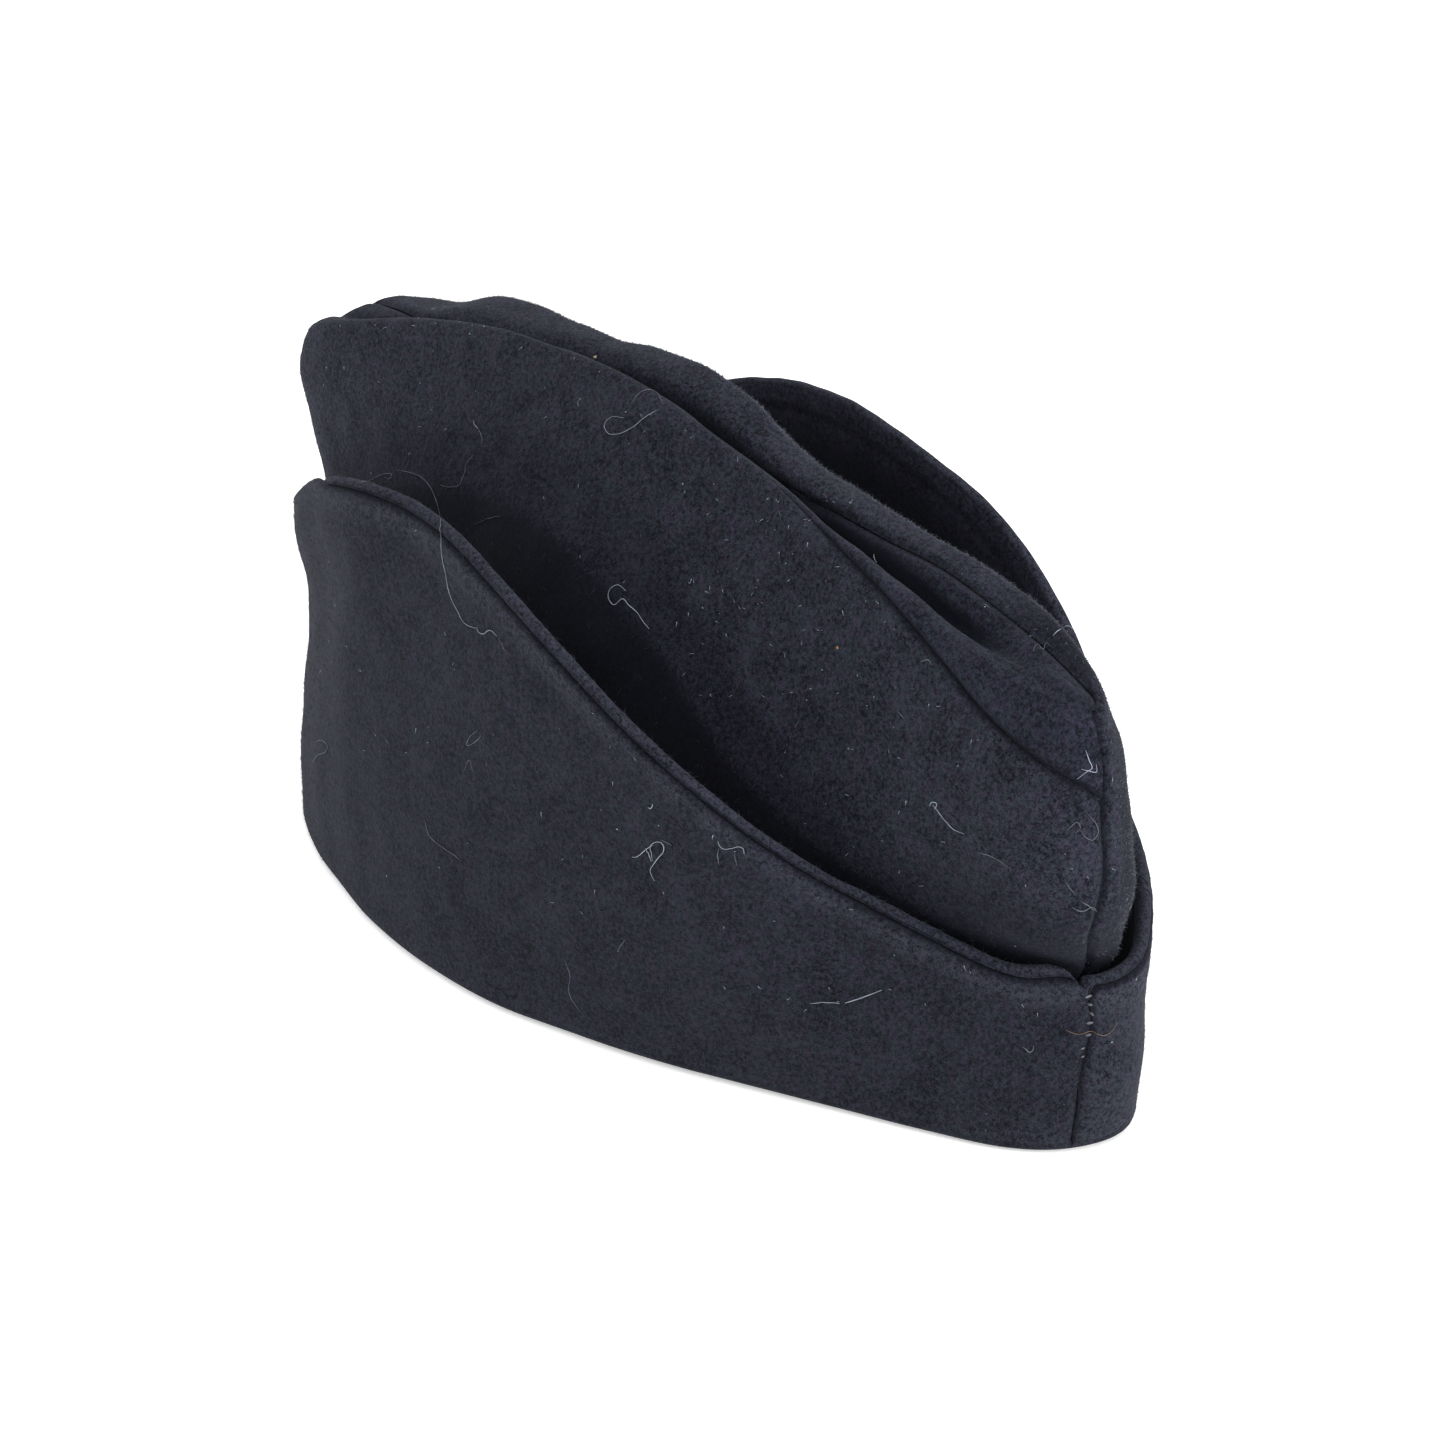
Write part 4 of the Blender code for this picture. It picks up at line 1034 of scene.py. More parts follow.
def strewn_tree():
    tree, given, gives = group_tree("strewn fibres", "GeometryNodeTree", [
        ("Cloth", SHAPE, None), ("Density", NUMBER, 1e5), ("Shortest", NUMBER, 0.0007),
        ("Longest", NUMBER, 0.0016), ("Thickness", NUMBER, 0.00003), ("Flattest", NUMBER, 1.45),
        ("Steepest", NUMBER, 0.9), ("Bend", NUMBER, 0.25), ("Chance", WHOLE, 1), ("Fibre", FINISH, None)],
        [("Fibres", SHAPE)])
    spike = add(tree, "GeometryNodeMeshCone", fill_type="NGON")
    set_inputs(spike, Vertices=3, Side_Segments=2, Radius_Top=0.0, Radius_Bottom=1.0, Depth=1.0)
    place = add(tree, "GeometryNodeInputPosition")
    split, join = add(tree, "ShaderNodeSeparateXYZ"), add(tree, "ShaderNodeCombineXYZ")
    link(tree, place.outputs["Position"], split, "Vector")
    square = calculate(tree, "MULTIPLY", split.outputs["Z"], split.outputs["Z"])
    thin = calculate(tree, "DIVIDE", given.outputs["Bend"], given.outputs["Thickness"])
    bend = calculate(tree, "MULTIPLY", thin, given.outputs["Shortest"])
    link(tree, calculate(tree, "MULTIPLY", square, bend), join, "X")
    bent = add(tree, "GeometryNodeSetPosition")
    link(tree, spike.outputs["Mesh"], bent, "Geometry")
    link(tree, join.outputs["Vector"], bent, "Offset")
    points = add(tree, "GeometryNodeDistributePointsOnFaces", distribute_method="RANDOM")
    link(tree, given.outputs["Cloth"], points, "Mesh")
    density = calculate(tree, "MULTIPLY", given.outputs["Density"], named_value(tree, "nap"))
    link(tree, density, points, "Density")
    link(tree, given.outputs["Chance"], points, "Seed")
    tilt = add(tree, "FunctionNodeRandomValue", data_type="FLOAT_VECTOR")
    low, high = add(tree, "ShaderNodeCombineXYZ"), add(tree, "ShaderNodeCombineXYZ")
    link(tree, given.outputs["Steepest"], low, "X")
    link(tree, given.outputs["Flattest"], high, "X")
    plug(high.inputs, "Z").default_value = 2 * math.pi
    link(tree, low.outputs["Vector"], tilt, "Min")
    link(tree, high.outputs["Vector"], tilt, "Max")
    link(tree, given.outputs["Chance"], tilt, "Seed")
    lean = add(tree, "FunctionNodeEulerToRotation")
    link(tree, plug(tilt.outputs, "Value"), lean, "Euler")
    way = add(tree, "FunctionNodeRotateRotation", rotation_space="LOCAL")
    link(tree, points.outputs["Rotation"], way, "Rotation")
    link(tree, lean.outputs["Rotation"], way, "Rotate By")
    reach = add(tree, "FunctionNodeRandomValue", data_type="FLOAT")
    link(tree, given.outputs["Shortest"], reach, "Min")
    link(tree, given.outputs["Longest"], reach, "Max")
    link(tree, calculate(tree, "ADD", given.outputs["Chance"], 7.0), reach, "Seed")
    size = add(tree, "ShaderNodeCombineXYZ")
    link(tree, given.outputs["Thickness"], size, "X")
    link(tree, given.outputs["Thickness"], size, "Y")
    link(tree, plug(reach.outputs, "Value"), size, "Z")
    strewn = add(tree, "GeometryNodeInstanceOnPoints")
    link(tree, points.outputs["Points"], strewn, "Points")
    link(tree, bent.outputs["Geometry"], strewn, "Instance")
    link(tree, way.outputs["Rotation"], strewn, "Rotation")
    link(tree, size.outputs["Vector"], strewn, "Scale")
    finish_tree(tree, strewn.outputs["Instances"], given.outputs["Fibre"], gives)
    return tree


def baked(name, mesh, tree, inputs, material):
    """A new piece: what the tree makes of a mesh, as a plain mesh of its own."""
    host = bpy.data.objects.new(name + "_host", mesh)
    bpy.context.scene.collection.objects.link(host)
    modifier = host.modifiers.new("made by nodes", "NODES")
    modifier.node_group = tree
    sockets = {i.name: i.identifier for i in tree.interface.items_tree if i.in_out == "INPUT"}
    for label, value in inputs.items():
        modifier[sockets[label]] = value
    bpy.context.view_layer.update()
    graph = bpy.context.evaluated_depsgraph_get()
    made = bpy.data.meshes.new_from_object(host.evaluated_get(graph))
    host.modifiers.remove(modifier)
    bpy.data.objects.remove(host, do_unlink=True)
    made.name = name
    made.materials.clear()
    made.materials.append(material)
    made.polygons.foreach_set("material_index", np.zeros(len(made.polygons), np.int32))
    for attribute in [a.name for a in made.attributes if a.name in ("wear_and_painted_light", "nap")]:
        made.attributes.remove(made.attributes[attribute])
    piece = bpy.data.objects.new(name, made)
    bpy.context.scene.collection.objects.link(piece)
    made.calc_loop_triangles()
    print(name, len(made.loop_triangles), "triangles")
    return piece


strewn = strewn_tree()
print("strewn fibres:", len(strewn.nodes), "nodes")

# %% [markdown]
# The nap stands thickest along ridges, beads and seams, where wear and painted highlight are
# high, and thinly where shade is painted. Hidden faces get none: a fibre there would only
# cost time.

# %% Nap on the cloths
def nap_share(cloth, plain_share, wear_and_highlight_share, hidden):
    """Paint on the cloth how thick its nap stands, from its value of wear and painted light."""
    mesh = cloth.data
    wear_and_painted_light = np.zeros(len(mesh.vertices), np.float32)
    mesh.attributes["wear_and_painted_light"].data.foreach_get("value", wear_and_painted_light)
    normal, place = np.empty(len(wear_and_painted_light) * 3), np.empty(len(wear_and_painted_light) * 3)
    mesh.vertices.foreach_get("normal", normal)
    mesh.vertices.foreach_get("co", place)
    normal, place = normal.reshape(-1, 3), place.reshape(-1, 3)
    share = plain_share * np.clip(1 + 1.1 * wear_and_painted_light, 0.06, 1.0) + wear_and_highlight_share * np.maximum(wear_and_painted_light, 0.0)
    share = np.where(hidden(place, normal), 0.0, share)
    if "nap" not in mesh.attributes:
        mesh.attributes.new("nap", "FLOAT", "POINT")
    mesh.attributes["nap"].data.foreach_set("value", share.astype(np.float32))


def inward(place, normal):
    """Faces that look at the middle of the cap or down."""
    out = place * (1, 1, 0) - (HEAD_CENTRE_X, 0, 0)
    return ((normal * out).sum(-1) < 0) & (normal[:, 2] < 0.3) | (place[:, 2] < 0.0015)


def inner_crown(place, normal):
    return inward(place, normal) | (place[:, 2] < 0.022)


def low_or_under(place, normal):
    return (normal[:, 2] < -0.2) | (place[:, 2] < 0.004)


# Piece; fibres on a square metre; share of them on plain cloth and on cloth with wear and painted highlight;
# where none grow
NAPS = (("crown_side_right", 8.0e5, 1.0, 2.0, inner_crown),
        ("crown_side_left", 2.4e5, 1.0, 20.0, inner_crown),
        ("crown_top", 5.0e5, 1.0, 4.0, inward),
        ("flap_right", 4.2e5, 1.0, 1.5, inward),
        ("flap_left", 2.4e5, 1.0, 1.5, inward),
        ("flap_facing_right", 3.0e5, 0.10, 6.0, low_or_under),
        ("flap_facing_left", 3.0e5, 0.25, 5.0, low_or_under))
NAP_SEED, FUZZ_SEED, DUST_SEED = 40, 57, 80

pieces = {node: [cloth] for node, cloth in cloths.items()}
for number, (node, density, plain_share, wear_and_highlight_share, hidden) in enumerate(NAPS):
    nap_share(cloths[node], plain_share, wear_and_highlight_share, hidden)
    nap = baked(node + "_nap", cloths[node].data, strewn, {
        "Density": density, "Shortest": 0.0006, "Longest": 0.0016, "Thickness": 0.000042, "Steepest": 0.85,
        "Flattest": 1.48, "Bend": 0.25, "Chance": NAP_SEED + number, "Fibre": nap_wool}, nap_wool)
    pieces[node].append(nap)

# %% Fuzz of the left ridge
# The left ridge stands free against the dark inside of the turn-up, and its fibres catch
# the light from behind; their paler colour is a painted highlight for that light. They stand
# steeper and get a strewing of their own, where the ridge has its wear and painted
# highlight, and thinly down the left front of the nose, most where it faces to the left.
FRONT_FUZZ = 0.10
nap_share(left_side, 0.0, 1.0, inner_crown)
for vertex, share in zip(left_side.data.vertices, left_side.data.attributes["nap"].data):
    x, y, z = vertex.co
    if x > 0.095 and 0.003 < y < 0.030 and z > 0.030 and vertex.normal.x > 0.2:
        share.value = max(share.value, FRONT_FUZZ * (0.5 + 2.0 * max(vertex.normal.y, 0.0)))
pieces["crown_side_left"].append(baked("crown_side_left_fuzz", left_side.data, strewn, {
    "Density": 5.5e6, "Shortest": 0.0004, "Longest": 0.0011, "Thickness": 0.000045, "Steepest": 0.45,
    "Flattest": 1.35, "Bend": 0.35, "Chance": FUZZ_SEED, "Fibre": rim_highlight_nap}, rim_highlight_nap))

# %% [markdown]
# ## Lint
#
# Dark wool gathers lint, and this cap carries a good deal: long pale hairs, small tangles,
# crumbs and dust. The larger pieces lie where the photograph shows them. A ray from the
# camera through the named pixel finds the cloth, and the hair is laid along the cloth
# there, so that it lies on it from every side. The small dust has no place of its own and
# is strewn by the same tree as the nap.

# %% Finding the cloth behind a pixel
def whole_surface():
    corners, faces, start = [], [], 0
    for cloth in cloths.values():
        mesh = cloth.data
        place = np.empty(len(mesh.vertices) * 3)
        corner = np.empty(len(mesh.loop_triangles) * 3, np.int32)
        mesh.vertices.foreach_get("co", place)
        mesh.loop_triangles.foreach_get("vertices", corner)
        corners.append(place.reshape(-1, 3))
        faces.append(corner.reshape(-1, 3) + start)
        start += len(mesh.vertices)
    return BVHTree.FromPolygons(np.concatenate(corners).tolist(), np.concatenate(faces).tolist())


surface = whole_surface()


def on_cloth(x, y):
    """Place and outward direction of the cloth behind a pixel of the photograph."""
    right, up = (2 * x / IMAGE - 1) * HALF_VIEW, (1 - 2 * y / IMAGE) * HALF_VIEW
    ray = camera.matrix_world.to_3x3() @ Vector((right, up, -1))
    place, normal = surface.ray_cast(EYE, ray.normalized())[:2]
    if place is None:
        return None
    return np.array(place), np.array(normal if normal.dot(ray) < 0 else -normal)


print("cloth behind the pixel 700, 600:", np.round(on_cloth(700, 600)[0] * 1000, 1), "mm")

# %% Pale hairs by name, as pixels of the photograph
PALE_HAIRS = {
    "long hair, lower end": ((441, 535), (442, 546), (445, 568), (450, 591), (456, 607), (467, 624),
                             (477, 628)),
    "tuft at its end": ((477, 627), (481, 633), (484, 634), (490, 630), (494, 632), (498, 636)),
    "hook on the crown": ((624, 418), (613, 417), (605, 426), (608, 433), (619, 434), (632, 428), (645, 418),
                          (658, 410)),
    "loop with a tail": ((626, 591), (619, 585), (611, 589), (609, 599), (614, 605), (624, 599), (629, 605),
                         (638, 613), (645, 623), (650, 629)),
    "tangle, loop and tail": ((652.5, 861), (652, 853), (651, 846), (655, 842), (662, 842), (664.5, 846),
                              (664, 851), (659, 857), (654, 864), (651, 869), (652.5, 875), (655.5, 880.5)),
    "tangle, left arm": ((652.5, 845), (646, 849.5), (641, 854), (636, 857), (632.5, 856.5)),
    "tangle, brace": ((646, 848), (649, 853), (652, 861)),
    "hook above the tangle": ((648.5, 807.5), (652, 808), (653, 804)),
    "curl right of the tangle": ((718, 841), (720, 845), (725, 848.5), (732, 848), (739, 846), (743.5, 848.5),
                                 (744.5, 853.5)),
    "low hair": ((845, 1003), (860, 998), (882, 990)),
    "low hair beside it": ((810, 1003), (825, 1002), (840, 1003)),
    "hair above the front": ((933, 805), (938, 810), (946, 821), (953, 828), (965, 834)),
    "tuft on it": ((930, 806), (933, 802), (938, 804), (935, 809)),
    "nose tangle, one": ((1085.5, 750), (1089, 761), (1091.5, 768), (1086, 772), (1077.5, 778)),
    "nose tangle, two": ((1081, 769), (1088, 770.5), (1096, 772), (1095.5, 764)),
    "hair on the far ridge": ((1053, 636), (1060, 630), (1068, 626.5), (1074, 631)),
    "hair in the valley": ((874, 554), (876, 560), (878, 566)),
    "short bright hair": ((474, 421), (476, 426), (479, 429)),
}

# %% Dull hairs, and a brown one
DULL_HAIRS = {
    "long hair, upper end": ((397, 470), (408, 472), (422, 477), (430, 485), (436, 498), (440, 515),
                             (441, 537)),
    "tail of its tuft": ((499, 637), (503, 645), (508, 654)),
    "rear of the bead": ((360, 484), (374, 479), (385, 474), (392, 474), (391, 479), (386, 477)),
    "squiggle on the far ridge": ((1033, 652), (1037, 645), (1043, 650), (1047, 643), (1052, 647)),
    "below the bright hair": ((479, 429), (482, 436), (483, 444)),
    "bar over the tangle": ((661, 839), (667, 842), (672.5, 845)),
    "first leg of the curl": ((719, 848), (718, 856), (719, 862.5)),
    "second leg of the curl": ((735, 852), (736, 860), (737.5, 865)),
    "end of the hook": ((664, 405), (653, 391), (642, 392), (632, 404)),
    "faint squiggle": ((474, 455), (467, 465), (464, 477), (460, 485), (448, 487), (441, 485)),
    "faint arc": ((475, 525), (488, 519), (501, 516)),
    "loop on the turn-up": ((478, 730), (470, 738), (468, 745), (478, 740), (482, 735)),
    "below the loop": ((465, 770), (470, 760), (474, 772)),
    "thread low on the turn-up": ((425, 820), (430, 835), (445, 848), (455, 855), (462, 862)),
    "on the seam": ((898, 710), (905, 719)),
    "on the side": ((796, 727), (799, 721)),
    "by the valley": ((921, 662), (929, 660), (932, 665)),
    "loop at the nose": ((1080, 830), (1085, 837), (1092, 840), (1097, 835), (1096, 825), (1087, 813)),
    "loop beside it": ((1067, 830), (1072, 825), (1077, 822), (1080, 828), (1075, 833)),
    "hair left of the nose": ((977, 852), (990, 855), (1000, 861), (1010, 867)),
    "behind the seam": ((983, 604), (990, 609)),
    "at the gap": ((853, 500), (850, 505)),
    "rear curl": ((316, 742), (322, 740), (328, 745), (326, 752), (318, 755), (314, 762)),
    "long faint squiggle": ((565, 960), (571, 975), (569, 990), (580, 1010)),
    "short faint hair": ((625, 940), (618, 950)),
    "front curl": ((1022.5, 1047), (1026, 1048.5), (1029, 1052), (1033, 1050), (1033.5, 1045)),
    "front hair, one": ((1066, 882), (1070, 888), (1076, 895)),
    "front hair, two": ((1072, 907), (1082, 911), (1092, 907), (1096, 911)),
    "front hair, three": ((1082, 902), (1088, 905), (1093, 910)),
}
BROWN_HAIRS = {"across the front seam": ((1066, 1030), (1078, 1034), (1090, 1031), (1104, 1035),
                                         (1112, 1030), (1117, 1022))}
print("hairs:", len(PALE_HAIRS), "pale,", len(DULL_HAIRS), "dull,", len(BROWN_HAIRS), "brown")


# %% Laying the hairs
PIXELS_A_STEP, JUMP, SIDES = 2.2, 0.004, 5   # a hair is broken where the cloth jumps back so far


def cloth_lengths(pixels):
    """The unbroken lengths of cloth under a path of pixels, each a list of places and normals."""
    pixels = np.array(pixels, float)
    knots = np.concatenate([[0], np.cumsum(np.hypot(*np.diff(pixels, axis=0).T))])
    at = np.linspace(0, knots[-1], max(4, int(knots[-1] / PIXELS_A_STEP)))
    lengths, line = [], []
    for x, y in zip(smooth(knots, pixels[:, 0], at), smooth(knots, pixels[:, 1], at)):
        step = on_cloth(x, y)
        if step is None or line and np.linalg.norm(step[0] - line[-1][0]) > JUMP:
            lengths.append(line)
            line = []
        if step is not None:
            line.append(step)
    return [length for length in lengths + [line] if len(length) > 2]


def laid(paths, thickness, seed):
    """Corners and faces of tapered tubes laid over the cloth."""
    chance, corners, faces = np.random.RandomState(seed), [], []
    turn = np.arange(SIDES) * 2 * math.pi / SIDES
    for line in (length for pixels in paths for length in cloth_lengths(pixels)):
        place, normal = np.array([p for p, _ in line]), np.array([n for _, n in line])
        share = np.linspace(0, 1, len(line))
        rise = 0.00008 + 0.00022 * np.abs(np.sin(math.pi * share * chance.uniform(1, 3)))
        place = place + normal * rise[:, None]
        along = unit(np.gradient(place, axis=0))
        aside = unit(np.cross(normal, along))
        above = np.cross(along, aside)
        taper = 0.3 + 0.7 * np.sqrt(np.sin(math.pi * np.clip(share, 0.02, 0.98)))
        radius = thickness * chance.uniform(0.7, 1.1) * taper
        ring = place[:, None] + radius[:, None, None] * (np.cos(turn)[None, :, None] * aside[:, None]
                                                        + np.sin(turn)[None, :, None] * above[:, None])
        start = sum(len(c) for c in corners)
        corners.append(ring.reshape(-1, 3))
        for a in range(start, start + (len(line) - 1) * SIDES, SIDES):
            faces += [(a + j, a + (j + 1) % SIDES, a + SIDES + (j + 1) % SIDES, a + SIDES + j)
                      for j in range(SIDES)]
        last = start + (len(line) - 1) * SIDES
        faces += [tuple(start + j for j in range(SIDES))[::-1], tuple(last + j for j in range(SIDES))]
    return np.concatenate(corners), faces


def loose_piece(name, corners, faces, material):
    """A piece of its own, with its normals turned outward."""
    mesh = bpy.data.meshes.new(name)
    mesh.from_pydata(np.asarray(corners).tolist(), [], faces)
    mesh.materials.append(material)
    mesh.update()
    bm = bmesh.new()
    bm.from_mesh(mesh)
    bmesh.ops.recalc_face_normals(bm, faces=bm.faces)
    bm.to_mesh(mesh)
    bm.free()
    piece = bpy.data.objects.new(name, mesh)
    bpy.context.scene.collection.objects.link(piece)
    print(name, len(faces), "faces")
    return piece


lint = [loose_piece("lint_pale_hairs", *laid(PALE_HAIRS.values(), 0.000095, 61), pale_lint),
        loose_piece("lint_dull_hairs", *laid(DULL_HAIRS.values(), 0.00008, 62), dull_lint),
        loose_piece("lint_brown_hair", *laid(BROWN_HAIRS.values(), 0.00009, 63), brown_lint)]

# %% Crumbs and dust
# Crumbs by name, with their size and the pixels of the photograph that they lie at
yellow_lint = plain("yellow lint", (0.36, 0.34, 0.20))
WHITE_CRUMBS = ((387, 876), (484, 327), (470, 334), (600, 372), (626, 412), (683, 484), (617.5, 829),
                (659, 825.5), (685, 492), (1112, 1042), (850, 503), (985, 607))
WHITE_SPECKS = ((714, 484), (756, 521), (793, 554), (718, 572), (737, 569), (758, 604), (703, 607),
                (772, 633), (783, 694), (807, 700), (874, 697), (894, 727), (978, 740), (826, 804),
                (854, 847), (866, 601), (962, 574), (983, 588))
ROW_UNDER_THE_BEAD = tuple((330 + 6.4 * i, 524 - (i % 3)) for i in range(8))
LOW_CRUMBS = ((1064, 1104), (986, 1114), (986, 1130), (1022, 1139))
CRUMBS = {"lint_white_crumbs": (pale_lint, 0.00022, WHITE_CRUMBS),
          "lint_white_specks": (pale_lint, 0.00013, WHITE_SPECKS),
          "lint_orange_crumb": (tan_lint, 0.00042, ((838, 648),)),
          "lint_yellow_crumb": (yellow_lint, 0.00060, ((596, 358),)),
          "lint_fine_crumbs": (dull_lint, 0.00016, ROW_UNDER_THE_BEAD + LOW_CRUMBS)}
CRUMB_SEED = 70


def crumbs(size, places, seed):
    """Corners and faces of uneven eight-sided grains."""
    chance, corners, faces = np.random.RandomState(seed), [], []
    for x, y in places:
        found = on_cloth(x, y)
        if found is None:
            continue
        place, normal = found
        start = len(corners)
        aside = unit(np.cross(normal, chance.normal(size=3)))
        other = np.cross(normal, aside)
        for way in (aside, other, -aside, -other, normal, -0.6 * normal):
            corners.append(place + normal * size * 0.4 + way * size * chance.uniform(0.55, 1.25))
        top, bottom = start + 4, start + 5
        for i in range(4):
            a, b = start + i, start + (i + 1) % 4
            faces += [(a, b, top), (b, a, bottom)]
    return corners, faces


for number, (name, (material, size, places)) in enumerate(CRUMBS.items()):
    lint.append(loose_piece(name, *crumbs(size, places, CRUMB_SEED + number), material))

# %% Dust
# Grains on a square metre of each cloth
DUST = {"crown_side_right": 1.1e4, "flap_right": 5.0e3, "crown_side_left": 4.0e3, "flap_left": 4.0e3,
        "crown_top": 9.0e3}
# The pixel in the middle of each patch of thicker dust, and its half width; the two on the left pieces are
# also painted glints of the nap
DUST_AND_GLINT_PATCHES = {"crown_side_right": (770, 580), "crown_side_left": (1129, 860), "flap_left": (1128, 1050)}
PATCH = 0.024

for number, (node, density) in enumerate(DUST.items()):
    mesh = cloths[node].data
    nap_share(cloths[node], 1.0, 0.0, inner_crown)
    if node in DUST_AND_GLINT_PATCHES:
        dust_and_glint_patch = Vector(on_cloth(*DUST_AND_GLINT_PATCHES[node])[0])
        for vertex, share in zip(mesh.vertices, mesh.attributes["nap"].data):
            share.value *= 0.7 + 3.0 * math.exp(-((vertex.co - dust_and_glint_patch).length / PATCH) ** 2)
    lint.append(baked("lint_dust_" + node, mesh, strewn, {
        "Density": density, "Shortest": 0.0004, "Longest": 0.0013, "Thickness": 0.000085, "Steepest": 1.25,
        "Flattest": 1.52, "Bend": 0.5, "Chance": DUST_SEED + number, "Fibre": pale_lint}, pale_lint))

# %% [markdown]
# ## Stitches
#
# The front seam of the turn-up is closed by hand with short pale stitches across it, and
# lower down the machine's dark thread shows as dashes along the seam. Every stitch is the
# same small rounded length of thread, so a second tree puts one on each point of a bare
# mesh and turns it by two vectors kept on that point.

# %% Stitch tree
def stitch_tree():
    tree, given, gives = group_tree("stitches", "GeometryNodeTree", [
        ("Places", SHAPE, None), ("Length", NUMBER, 0.0014), ("Width", NUMBER, 0.0005),
        ("Thread", FINISH, None)], [("Stitches", SHAPE)])
    grain = add(tree, "GeometryNodeMeshUVSphere")
    set_inputs(grain, Segments=8, Rings=6, Radius=0.5)
    turn = None
    for axis, pivot, name in (("X", "AUTO", "way"), ("Z", "X", "up")):
        align = add(tree, "FunctionNodeAlignRotationToVector", axis=axis, pivot_axis=pivot)
        link(tree, named_value(tree, name, "FLOAT_VECTOR"), align, "Vector")
        if turn is not None:
            link(tree, turn, align, "Rotation")
        turn = align.outputs["Rotation"]
    share = named_value(tree, "share")
    size = add(tree, "ShaderNodeCombineXYZ")
    link(tree, calculate(tree, "MULTIPLY", given.outputs["Length"], share), size, "X")
    link(tree, calculate(tree, "MULTIPLY", given.outputs["Width"], share), size, "Y")
    link(tree, calculate(tree, "MULTIPLY", given.outputs["Width"], 0.6), size, "Z")
    placed = add(tree, "GeometryNodeInstanceOnPoints")
    link(tree, given.outputs["Places"], placed, "Points")
    link(tree, grain.outputs["Mesh"], placed, "Instance")
    link(tree, turn, placed, "Rotation")
    link(tree, size.outputs["Vector"], placed, "Scale")
    finish_tree(tree, placed.outputs["Instances"], given.outputs["Thread"], gives)
    return tree


def stitch_places(name, places, way):
    """A bare mesh with one point for each stitch; places are pixels and sizes."""
    spots = [(on_cloth(x, y), share) for x, y, share in places]
    mesh = bpy.data.meshes.new(name)
    mesh.from_pydata([tuple(place) for (place, _), _ in spots], [], [])
    for label, kind in (("way", "FLOAT_VECTOR"), ("up", "FLOAT_VECTOR"), ("share", "FLOAT")):
        mesh.attributes.new(label, kind, "POINT")
    for i, ((_, normal), share) in enumerate(spots):
        along = unit(np.array(way) - normal * np.dot(way, normal))
        mesh.attributes["way"].data[i].vector, mesh.attributes["up"].data[i].vector = along, normal
        mesh.attributes["share"].data[i].value = share
    return mesh


# %% Stitches of the front seam
ACROSS, DOWN = (0.6, 0.8, 0.0), (0.0, 0.1, -1.0)
# Pixel of the photograph and relative size of each stitch
HAND_STITCHES = ((1088.5, 996.5, 1.0), (1089.3, 1004.5, 0.9), (1090.7, 1013, 1.15), (1089.3, 1023, 1.0),
                 (1088.5, 1035, 0.9), (1082.7, 1048.5, 0.6), (1082.7, 1056.6, 0.55))
MACHINE_STITCHES = tuple((1079.5 - 0.085 * (y - 1062), y, 1.0) for y in range(1062, 1142, 12))
sewn = stitch_tree()
pieces["flap_right"] += [
    baked("seam_hand_stitches", stitch_places("hand places", HAND_STITCHES, ACROSS), sewn,
          {"Length": 0.0016, "Width": 0.00062, "Thread": pale_thread}, pale_thread),
    baked("seam_machine_stitches", stitch_places("machine places", MACHINE_STITCHES, DOWN), sewn,
          {"Length": 0.0017, "Width": 0.00050, "Thread": dark_thread}, dark_thread)]
print("stitches:", len(HAND_STITCHES) + len(MACHINE_STITCHES))

# %% [markdown]
# ## Studio
#
# A pale floor lit a little from below, as on a photographer's light table, so that hardly
# a shadow is left on it. A white surround and two broad soft lights, one overhead and one
# at the cap's left front, do the rest. The wool takes most of its shape from the
# surround: it is darkest where two layers hide the light from each other and shows a pale
# rim where the nap is seen edge on.

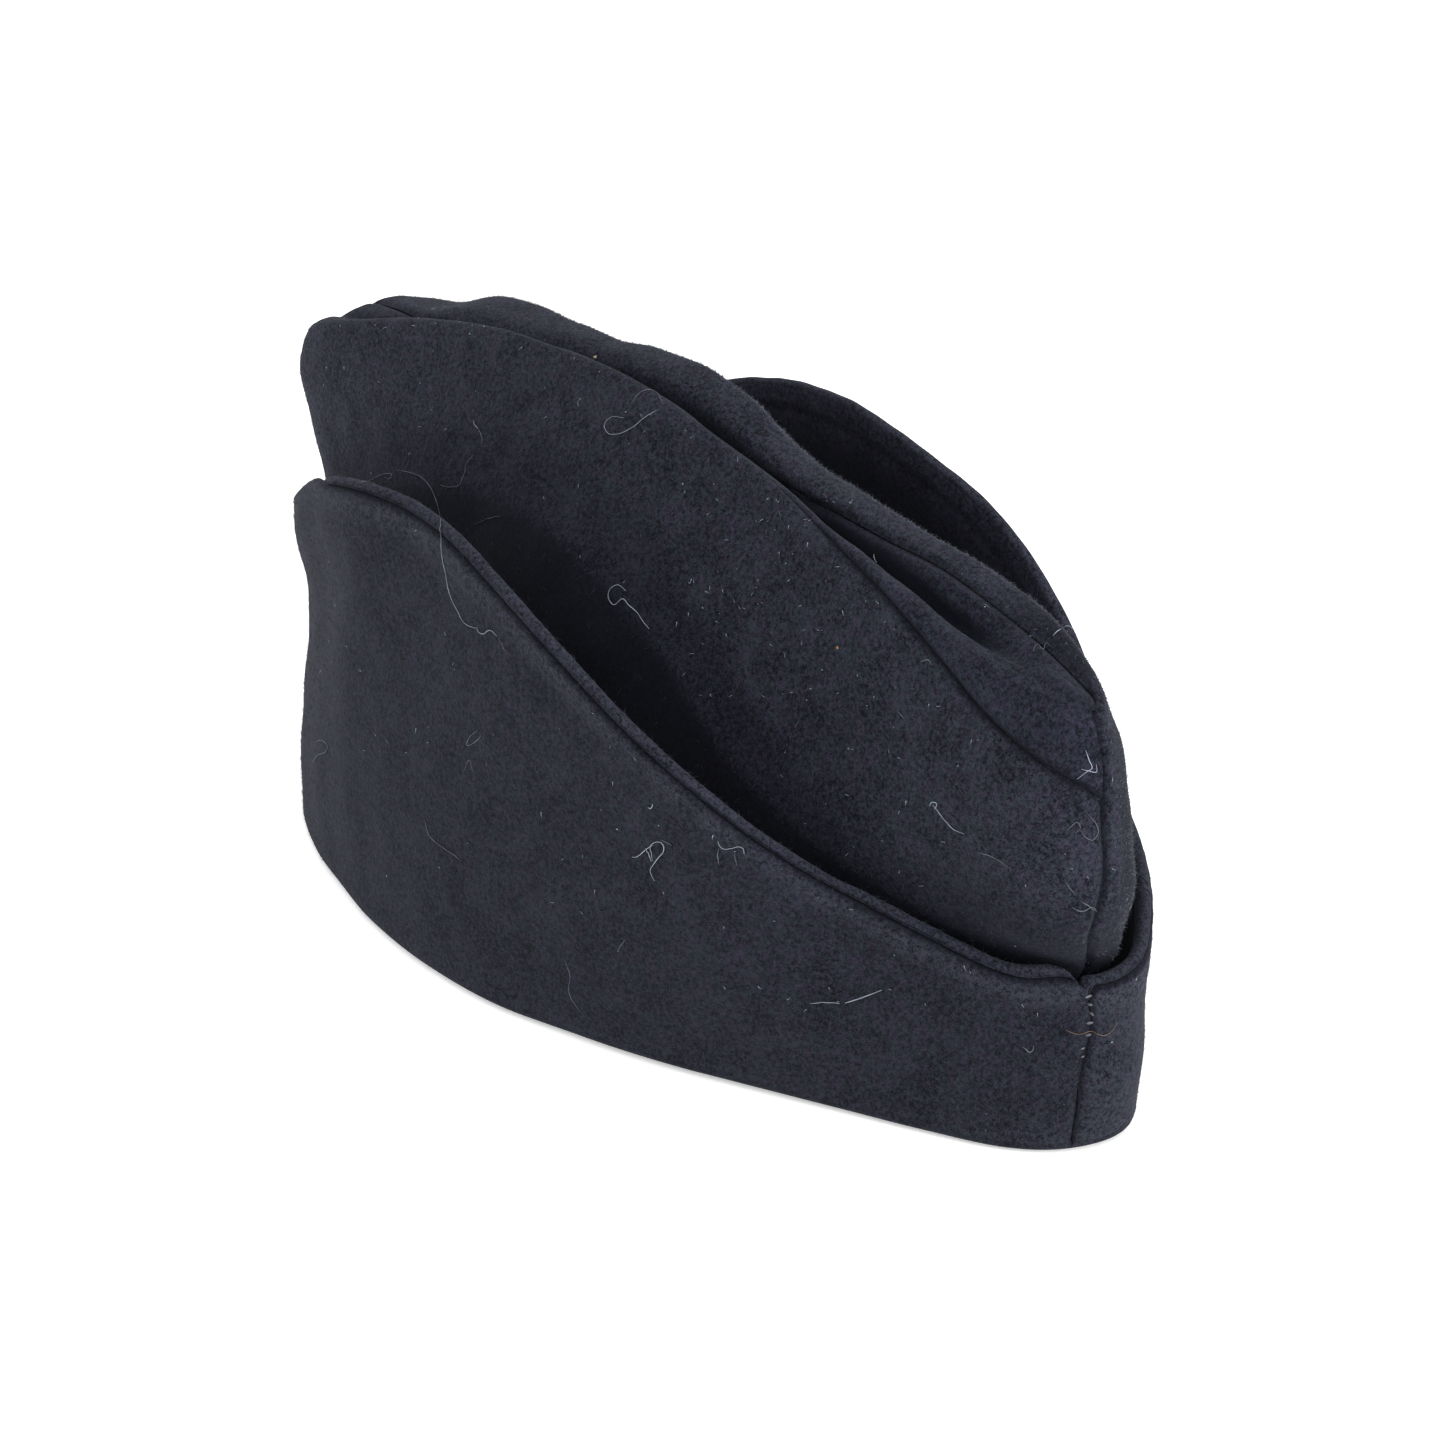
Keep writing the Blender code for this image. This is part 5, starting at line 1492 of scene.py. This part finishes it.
# %% Studio
FLOOR_REACH, FLOOR_LEVEL = 6, -0.0002   # just under the bottom fold
FLOOR_GLOW, SURROUND_GLOW = 0.4, 1.15
floor_mesh = bpy.data.meshes.new("floor")
floor_mesh.from_pydata([(x * FLOOR_REACH, y * FLOOR_REACH, FLOOR_LEVEL)
                        for x, y in ((-1, -1), (1, -1), (1, 1), (-1, 1))], [], [(0, 1, 2, 3)])
floor = bpy.data.objects.new("floor", floor_mesh)
bpy.context.scene.collection.objects.link(floor)
pale_floor = bpy.data.materials.new("pale floor")
pale_floor.use_nodes = True
paint = pale_floor.node_tree.nodes["Principled BSDF"]
paint.inputs["Base Color"].default_value = (0.93, 0.93, 0.93, 1)
paint.inputs["Roughness"].default_value = 0.9
paint.inputs["Emission Color"].default_value = (1, 1, 1, 1)
paint.inputs["Emission Strength"].default_value = FLOOR_GLOW
floor_mesh.materials.append(pale_floor)

world = bpy.data.worlds.new("surround")
bpy.context.scene.world = world
world.use_nodes = True
sky = world.node_tree.nodes["Background"]
sky.inputs["Color"].default_value = (1.0, 1.0, 1.0, 1)
sky.inputs["Strength"].default_value = SURROUND_GLOW


# %% Soft lights
def soft_light(name, place, aim, size, watts):
    light = bpy.data.lights.new(name, "AREA")
    light.shape, light.size, light.energy = "DISK", size, watts
    lamp = bpy.data.objects.new(name, light)
    bpy.context.scene.collection.objects.link(lamp)
    lamp.location = place
    lamp.rotation_euler = (Vector(aim) - Vector(place)).to_track_quat("-Z", "Y").to_euler()


soft_light("overhead", place=(0.4, -0.3, 1.4), aim=(0, 0, 0.05), size=1.0, watts=4)
soft_light("left front", place=(1.35, 0.45, 0.45), aim=(0.05, 0.0, 0.04), size=0.8, watts=14)
bpy.context.scene.view_settings.view_transform = "Standard"
print("studio: floor, surround and two soft lights")

# %% [markdown]
# ## Last step
#
# Every piece rides on the cap's one body, and each cloth stands for its own solid.

# %% Hand over
for node, made in pieces.items():
    for piece in made:
        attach(piece, "root")
    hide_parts(node)
for piece in lint:
    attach(piece, "root")
